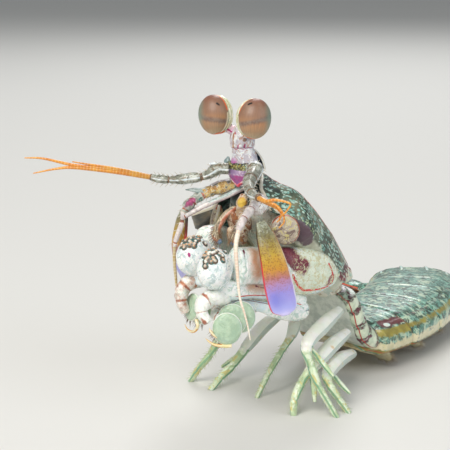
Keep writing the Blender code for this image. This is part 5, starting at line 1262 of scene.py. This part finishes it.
thorax_skin = cuticle("thorax_cuticle", ("#6E3A40", "#4A2A32"), 0.8,
                      [("#A9BCA6", 0.4, 0.42), ("#7E8A78", 0.3, 0.36)],
                      [("belly", "#E1E6DC", "#C6CEC4", 0.4), ("cream", "#E3EBD2", "#C9D6BC", 1.2, 0.12),
                       ("edge", "#C23A38", "#B85A4A", 0.6), ("rim", "#EFEAD2", "#EFEAD2", 0.2)],
                      rough=0.34, coat=0.4)
abdomen_skin = cuticle("abdomen_cuticle", ("#2C3E35", "#4E6350"), 1.2,
                       [("#8FBCAA", 0.45, 0.46), ("#5F9080", 0.36, 0.42), ("#B9CDB2", 0.7, 0.3)],
                       [("belly", "#D3CBA8", "#BFAF82", 0.5), ("maroon", "#5E2A32", "#74413E", 1.2, 0.14),
                        ("olive", "#8F8440", "#A89C4A", 1.0, 0.16), ("spot", "#BFE0DC", "#E6EFE2", 0.6),
                        ("cream", "#E4DDBA", "#D3CBA0", 1.2), ("edge", "#A8442E", "#B87A4A", 0.5),
                        ("hair", "#B9A98C", "#8C7C64", 0.0)], rough=0.32, coat=0.4, glow=0.1)
for name, start, end, wide, high in SOMITES:
    tail, first = name.startswith("abdomen"), name == "abdomen_1"
    f = np.linspace(0, 1, 76)
    scale = 0.86 + 0.14 * step(f, 0.12, 0.24) - 0.03 * step(f, 0.9, 1.0) + 0.015 * hill(f, 0.93, 0.02)
    scale = scale if tail else scale - 0.06 * (2 * f - 1) ** 4
    lean = (1.15 if tail else 0.5) * (1 if name != "thorax_5" else -1.0 + 2 * f)
    before, after = (0.0, 0.35) if name == "thorax_5" else (0.75, 0.45 if name != "abdomen_6" else -0.3)
    grid, t, x, s = somite(start - before, end + after - 0.1, wide, high, lean + 0 * f, scale,
                           1.0 if tail else 0.62)
    lateral = abs(x)
    rear = hill(t, 0.955, 0.012 if tail else 0.03) + hill(s, -0.42, 0.04) * (lateral > 0.9)
    groove = hill(lateral, 0.72, 0.03) * (s > 0) * step(t, 0.2, 0.3) * tail
    marks = {
        "belly": step(s, -0.55, -0.75),
        "edge": np.clip(rear, 0, 1),
        "raise": 0.02 * cloud(grid, 0.4) - 0.06 * groove,
    }
    if tail:
        marks |= {
            "cream": step(lateral, 0.93, 1.0) * step(s, 0.35, -0.2) * 0.75,
            "olive": hill(lateral, 0.93, 0.06) * (1.0 if first else 0.6),
            "spot": hill(lateral, 0.8, 0.05) * hill(t, 0.5, 0.12) * first,
            "maroon": hill(lateral, 0.76, 0.12) * step(t, 0.15, 0.4) * (0.95 if first else 0.4),
        }
    else:
        marks |= {
            "cream": hill(lateral, 0.97, 0.16) * hill(t, 0.52, 0.26) * (1 + 0.3 * cloud(grid, 0.8)),
            "rim": step(t, 0.975, 1.0) * (s > -0.3),
        }
    forms = [closed(grid, marks, 0.1)]
    if tail and name != "abdomen_6":
        point, tangent, side, up = on_trunk(0.5 * (start + end) - 0.6)
        for way in (-1, 1):
            root = point + side * way * wide * 0.52 - up * high * 0.35
            tip = root + tangent * 2.3 - up * (root[2] - 0.95)
            for part, out in ((1.0, 0.0), (0.8, 0.55)):
                path = [root, 0.5 * (root + tip) + side * way * out, tip + side * way * out * 1.4]
                grid, t, c, s = sweep(path, [0.7, 1.1 * part, 1.45 * part, 1.15 * part, 0.5],
                                      [0.3, 0.3, 0.27, 0.25], up=up * 0.6 + tangent, steps=50, sides=40)
                marks = {"belly": 1, "cream": step(t, 0.5, 1) * 0.5, "raise": 0.02 * cloud(grid, 0.3)}
                forms.append(closed(grid, marks))
                roots = np.concatenate([grid[24:49:2, 10], grid[24:49:2, 30], grid[48, 10:31]])
                ways = unit(roots - grid[20].mean(0)) * 0.7
                forms.append(hairs(roots, ways, random.normal(0, 0.06, (len(roots), 3)) - [0, 0, 0.1], 0.02))
    if name == "abdomen_6":
        for part in (-0.78, -0.3, 0.3, 0.78):
            line = []
            for at in (0.25, 0.6, 1.02):
                point, tangent, side, up = on_trunk(start + at * (end - start))
                rise = high * (1 - abs(part) ** 2.6) ** 0.6
                line.append(point + side * part * wide + up * (rise - 0.1) + tangent * (0.7 if at > 1 else 0))
            grid, t, c, s = sweep(line, [0.27, 0.3, 0.26, 0.08], [0.3, 0.34, 0.3, 0.08], steps=50, sides=24)
            forms.append(closed(grid, {"edge": step(t, 0.75, 0.95), "spot": step(s, 0.6, 0.95) * 0.6}, 0.05))
    build(name, forms, abdomen_skin if tail else thorax_skin)


# The telson: the last plate, broad and thick in the middle, with a tall middle keel, three low ones on each
# side and three pairs of teeth round its hind edge. It is the hardest of the tail and rests on the floor.
TELSON_LONG, TELSON_HALF, TELSON_DIP = 9.6, 4.75, -0.235
KEELS = [(0, 0.55), (0.3, 0.38), (0.62, 0.34), (0.92, 0.25)]  # place across and height
TEETH = (0.2, 0.56, 0.88)
point, tangent, side, up = on_trunk(TELSON_START)
tangent = unit(tangent * (1, 1, 0) + np.array([0, 0, TELSON_DIP]))
side = unit(np.cross(tangent, (0, 0, 1)))
up = np.cross(side, tangent)
u, v = np.meshgrid(np.linspace(0, 1, 90), np.linspace(-1, 1, 281), indexing="ij")
teeth = sum(1.5 * hill(abs(v), at, 0.05) for at in TEETH)
reach = TELSON_LONG * (1 - 0.42 * abs(v) ** 2.2) - 1.2 + teeth - hill(v, 0, 0.07)
half = TELSON_HALF * (0.86 + 0.5 * u - 0.42 * u * u - 0.16 * u**3)
thick = 0.6 + 1.15 * (1 - abs(v) ** 2.4) * (1 - u) ** 0.6
keel = sum(h * hill(abs(v), at, 0.045) for at, h in KEELS)
keel = keel * np.sin(math.pi * np.clip(u * 1.05, 0.02, 0.98)) ** 0.5
base = point + tangent * (u * reach)[..., None] + side * (v * half)[..., None]
outer, inner = base + up * (thick * 0.62 + keel)[..., None], base - up * (thick * 0.38 + 0.05)[..., None]
inner[..., 2] = np.maximum(inner[..., 2], 0.0)
outer[..., 2] = np.maximum(outer[..., 2], 0.12)
marks = {"spot": np.clip(keel * 1.6, 0, 1) * step(u, 0.2, 0.5) * 0.8,
         "maroon": step(u, 0.75, 0.4) * 0.5, "olive": step(u, 0.6, 0.9) * 0.5,
         "raise": 0.03 * cloud(outer, 0.4), "cream": step(abs(v), 0.9, 1.0) * 0.7}
tail_plate = plate(outer, inner, marks, 0.25)
tail_plate["marks"]["belly"] = tail_plate["marks"]["inside"]
build("telson", tail_plate, abdomen_skin)


# The uropods: the tail fan on each side, a thick root with a forked spine under it, an outer blade in two
# parts with a row of spines at the joint, and an inner blade. Both blades end in a brush of orange hairs.
fan_skin = cuticle("fan_cuticle", ("#2C463E", "#52705A"), 0.9, [("#8FC4B0", 0.4, 0.48)],
                   [("orange", "#D8762A", "#E6A24A", 0.4), ("blue", "#3A6AC0", "#5C8AD8", 0.6),
                    ("red", "#C23A30", "#D96A4A", 0.3), ("cream", "#E6DFBE", "#D3CBA0", 0.4),
                    ("hair", "#E0803A", "#E6A86A", 0.0)], rough=0.32, coat=0.4)
for name, way in (("uropod_l", -1), ("uropod_r", 1)):
    point, tangent, *_ = on_trunk(TELSON_START - 1.3)
    tangent = unit(tangent * (1, 1, 0))
    side = unit(np.cross(tangent, (0, 0, 1))) * way

    def at(out, back, z):
        """A place on the fan: mm out from its root, mm back and mm above the floor."""
        return np.array([*(point + side * out + tangent * back)[:2], z])

    grid, t, c, s = sweep([at(4.3, 0.2, 1.6), at(5.2, 1.3, 1.35), at(5.9, 2.6, 1.15)], [0.6, 0.95, 0.85],
                          [0.55, 0.62, 0.5], steps=60, sides=48)
    forms = [closed(grid, {"cream": step(s, 0.0, -0.6), "raise": 0.03 * cloud(grid, 0.4)}, 0.2)]
    for k in (0.15, 0.95):
        grid, t, c, s = sweep([at(5.3, 2.0, 0.9), at(5.0 + k, 4.6, 0.5),
                               at(4.8 + 1.3 * k, 6.6 - 0.5 * k, 0.3)],
                              [0.42, 0.36, 0.27, 0.07], steps=60, sides=32)
        forms.append(closed(grid, {"cream": step(t, 0.6, 0.0), "red": step(t, 0.8, 0.95)}, 0.03))
    blades = [  # line, half widths, half heights, and whether it ends in a brush
        ([at(5.9, 2.2, 1.2), at(7.3, 4.4, 1.2), at(8.3, 6.3, 1.0)], [0.7, 1.05, 1.15, 0.95],
         [0.32, 0.32, 0.3], 0),
        ([at(8.0, 5.9, 1.05), at(9.2, 8.0, 0.55), at(9.9, 9.7, 0.2)], [0.95, 1.3, 1.2, 0.4],
         [0.3, 0.27, 0.22], 1),
        ([at(5.5, 2.3, 0.95), at(6.1, 5.0, 0.45), at(6.7, 7.9, 0.2)], [0.55, 1.0, 1.05, 0.4],
         [0.27, 0.26, 0.22], 1),
    ]
    for path, wide, high, fringed in blades:
        grid, t, c, s = sweep(path, wide, high, steps=90, sides=64, square=0.85)
        grid[..., 2] = np.maximum(grid[..., 2], 0.02)
        marks = {"orange": step(t, 0.0, 0.3) * fringed, "blue": step(t, 0.4, 0.9) * (1 - fringed) * 0.8,
                 "red": step(abs(c), 0.93, 0.99), "raise": 0.05 * hill(c, 0, 0.12) + 0.015 * cloud(grid, 0.3)}
        forms.append(closed(grid, marks, 0.1))
        if fringed:
            i = np.arange(20, 90, 2)
            roots = np.concatenate([grid[i, 16], grid[i, 48], grid[88, 16:49:2]])
            ways = unit(roots - grid[i[0] - 16].mean(0)) * 0.9 * (1, 1, 0.2)
            forms.append(hairs(roots, ways, random.normal(0, 0.05, (len(roots), 3)) * (1, 1, 0.3), 0.022))
    for k in range(7):
        grid, t, c, s = sweep([at(7.1 + 0.24 * k, 3.9 + 0.4 * k, 1.2),
                               at(8.1 + 0.26 * k, 4.7 + 0.44 * k, 1.15)],
                              [0.2, 0.17, 0.05], steps=30, sides=20)
        forms.append(closed(grid, {"orange": step(t, 0.2, 0.5)}, 0.03))
    build(name, forms, fan_skin)


# The walking legs: three thin pairs under the thorax, each with a slim side branch off its base. The cuticle
# is clear enough to show yellow-green flesh, with darker green edges, ochre spots at the joints and short
# hairs.
LEG_WIDE = np.array([0.55, 0.74, 0.78, 0.66, 0.46, 0.44, 0.4, 0.36, 0.3])
LEGS = {
    "leg_1_l": ([(4.4, 8.7, 8.0), (5.2, 5.3, 7.4), (6.0, 1.9, 6.4), (6.9, 1.5, 4.6), (7.8, 1.5, 2.9),
                 (9.1, 2.6, -0.1)],
                [(6.2, 2.2, 6.0), (6.9, 2.8, 4.9), (8.3, 2.9, 3.7)]),
    "leg_2_l": ([(4.4, 10.0, 5.5), (5.2, 6.6, 5.1), (6.1, 2.6, 4.1), (5.8, 1.4, 2.85), (5.7, 0.5, 1.4),
                 (5.8, 0.3, -0.1)], [(5.9, 2.4, 4.1), (6.5, 2.3, 2.6), (7.0, 1.9, 1.2)]),
    "leg_3_l": ([(4.4, 10.9, 3.2), (5.4, 7.6, 3.5), (6.7, 4.2, 3.2), (7.4, 3.6, 2.5), (8.3, 3.8, 1.3),
                 (9.2, 4.3, -0.1)], [(6.6, 4.8, 3.2), (7.1, 5.4, 2.2), (8.0, 5.9, 1.2)]),
    "leg_1_r": ([(-4.3, 8.6, 7.8), (-5.1, 5.6, 6.6), (-5.5, 3.0, 4.9), (-6.1, 1.9, 3.0), (-7.3, 1.4, 1.3),
                 (-8.2, 1.2, -0.1)], [(-5.6, 3.2, 4.6), (-6.6, 3.4, 3.4), (-7.6, 3.3, 2.4)]),
    "leg_2_r": ([(-4.3, 10.1, 5.6), (-4.8, 8.2, 4.6), (-5.1, 6.0, 2.9), (-5.0, 3.9, 1.6), (-4.9, 2.0, 0.8),
                 (-4.8, 0.4, -0.1)], [(-5.2, 6.2, 2.7), (-6.2, 5.4, 1.7), (-7.0, 4.6, 0.9)]),
    "leg_3_r": ([(-2.8, 10.6, 5.1), (-1.6, 9.4, 5.3), (-0.4, 7.4, 4.8), (0.0, 5.4, 3.7), (0.1, 3.3, 1.9),
                 (0.05, 1.7, -0.1)], [(-0.4, 7.2, 4.6), (-0.8, 6.4, 3.3), (-1.0, 5.6, 2.2)]),
}
leg_skin = cuticle("leg_cuticle", ("#D3E2C0", "#B4CDA0"), 1.6, [("#E3EED3", 0.9, 0.5), ("#D6D08E", 0.8, 0.3)],
                   [("cream", "#FAFBF2", "#EDF2E4", 0.7, 0.2), ("shade", "#C3CFC6", "#CBD6CC", 0.6, 0.2),
                    ("green", "#7DAC8E", "#8FB890", 0.5, 0.15), ("ochre", "#DDBE86", "#E3D3A0", 1.2, 0.35),
                    ("hair", "#B9C49A", "#9CA878", 0.0)],
                   rough=0.3, coat=0.35, glow=0.45)
for name, (path, twig) in LEGS.items():
    wide = LEG_WIDE * (0.8 if name == "leg_3_r" else 1.0)
    grid, t, c, s = sweep(path, wide, wide * 0.85, steps=170, sides=44)
    joint = np.max([hill(t, at, 0.014) for at in (0.42, 0.6, 0.8)], axis=0)
    grid[..., 2] = np.maximum(grid[..., 2], 0.0)
    marks = {
        "cream": step(t, 0.56, 0.36),
        "green": np.clip(step(abs(c), 0.92, 0.99) * step(t, 0.35, 0.5) + 0.4 * joint, 0, 1),
        "ochre": step(cloud(grid, 0.9, 5.0), 0.3, 0.9) * step(t, 0.55, 0.4) * 0.9,
        "shade": step(abs(c), 0.86, 0.98) * step(t, 0.5, 0.4),
        "raise": 0.015 * cloud(grid, 0.4) - 0.07 * joint,
    }
    brush = bristles(grid, range(90, 164, 4), start=8, every=11, out=0.3, lean=0.3, bend=0.04, radius=0.02,
                     ahead=4)
    forms = [closed(grid, marks, (0.12, 0.0)), brush]
    grid, t, c, s = sweep(twig, [0.28, 0.27, 0.26, 0.16], steps=60, sides=28)
    forms.append(closed(grid, {"green": step(abs(c), 0.9, 1.0), "raise": 0.01 * cloud(grid, 0.3)}, 0.08))
    build(name, forms, leg_skin)

low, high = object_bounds()
{"solid": [list(v) for v in solid_box], "looks": [list(low), list(high)]}
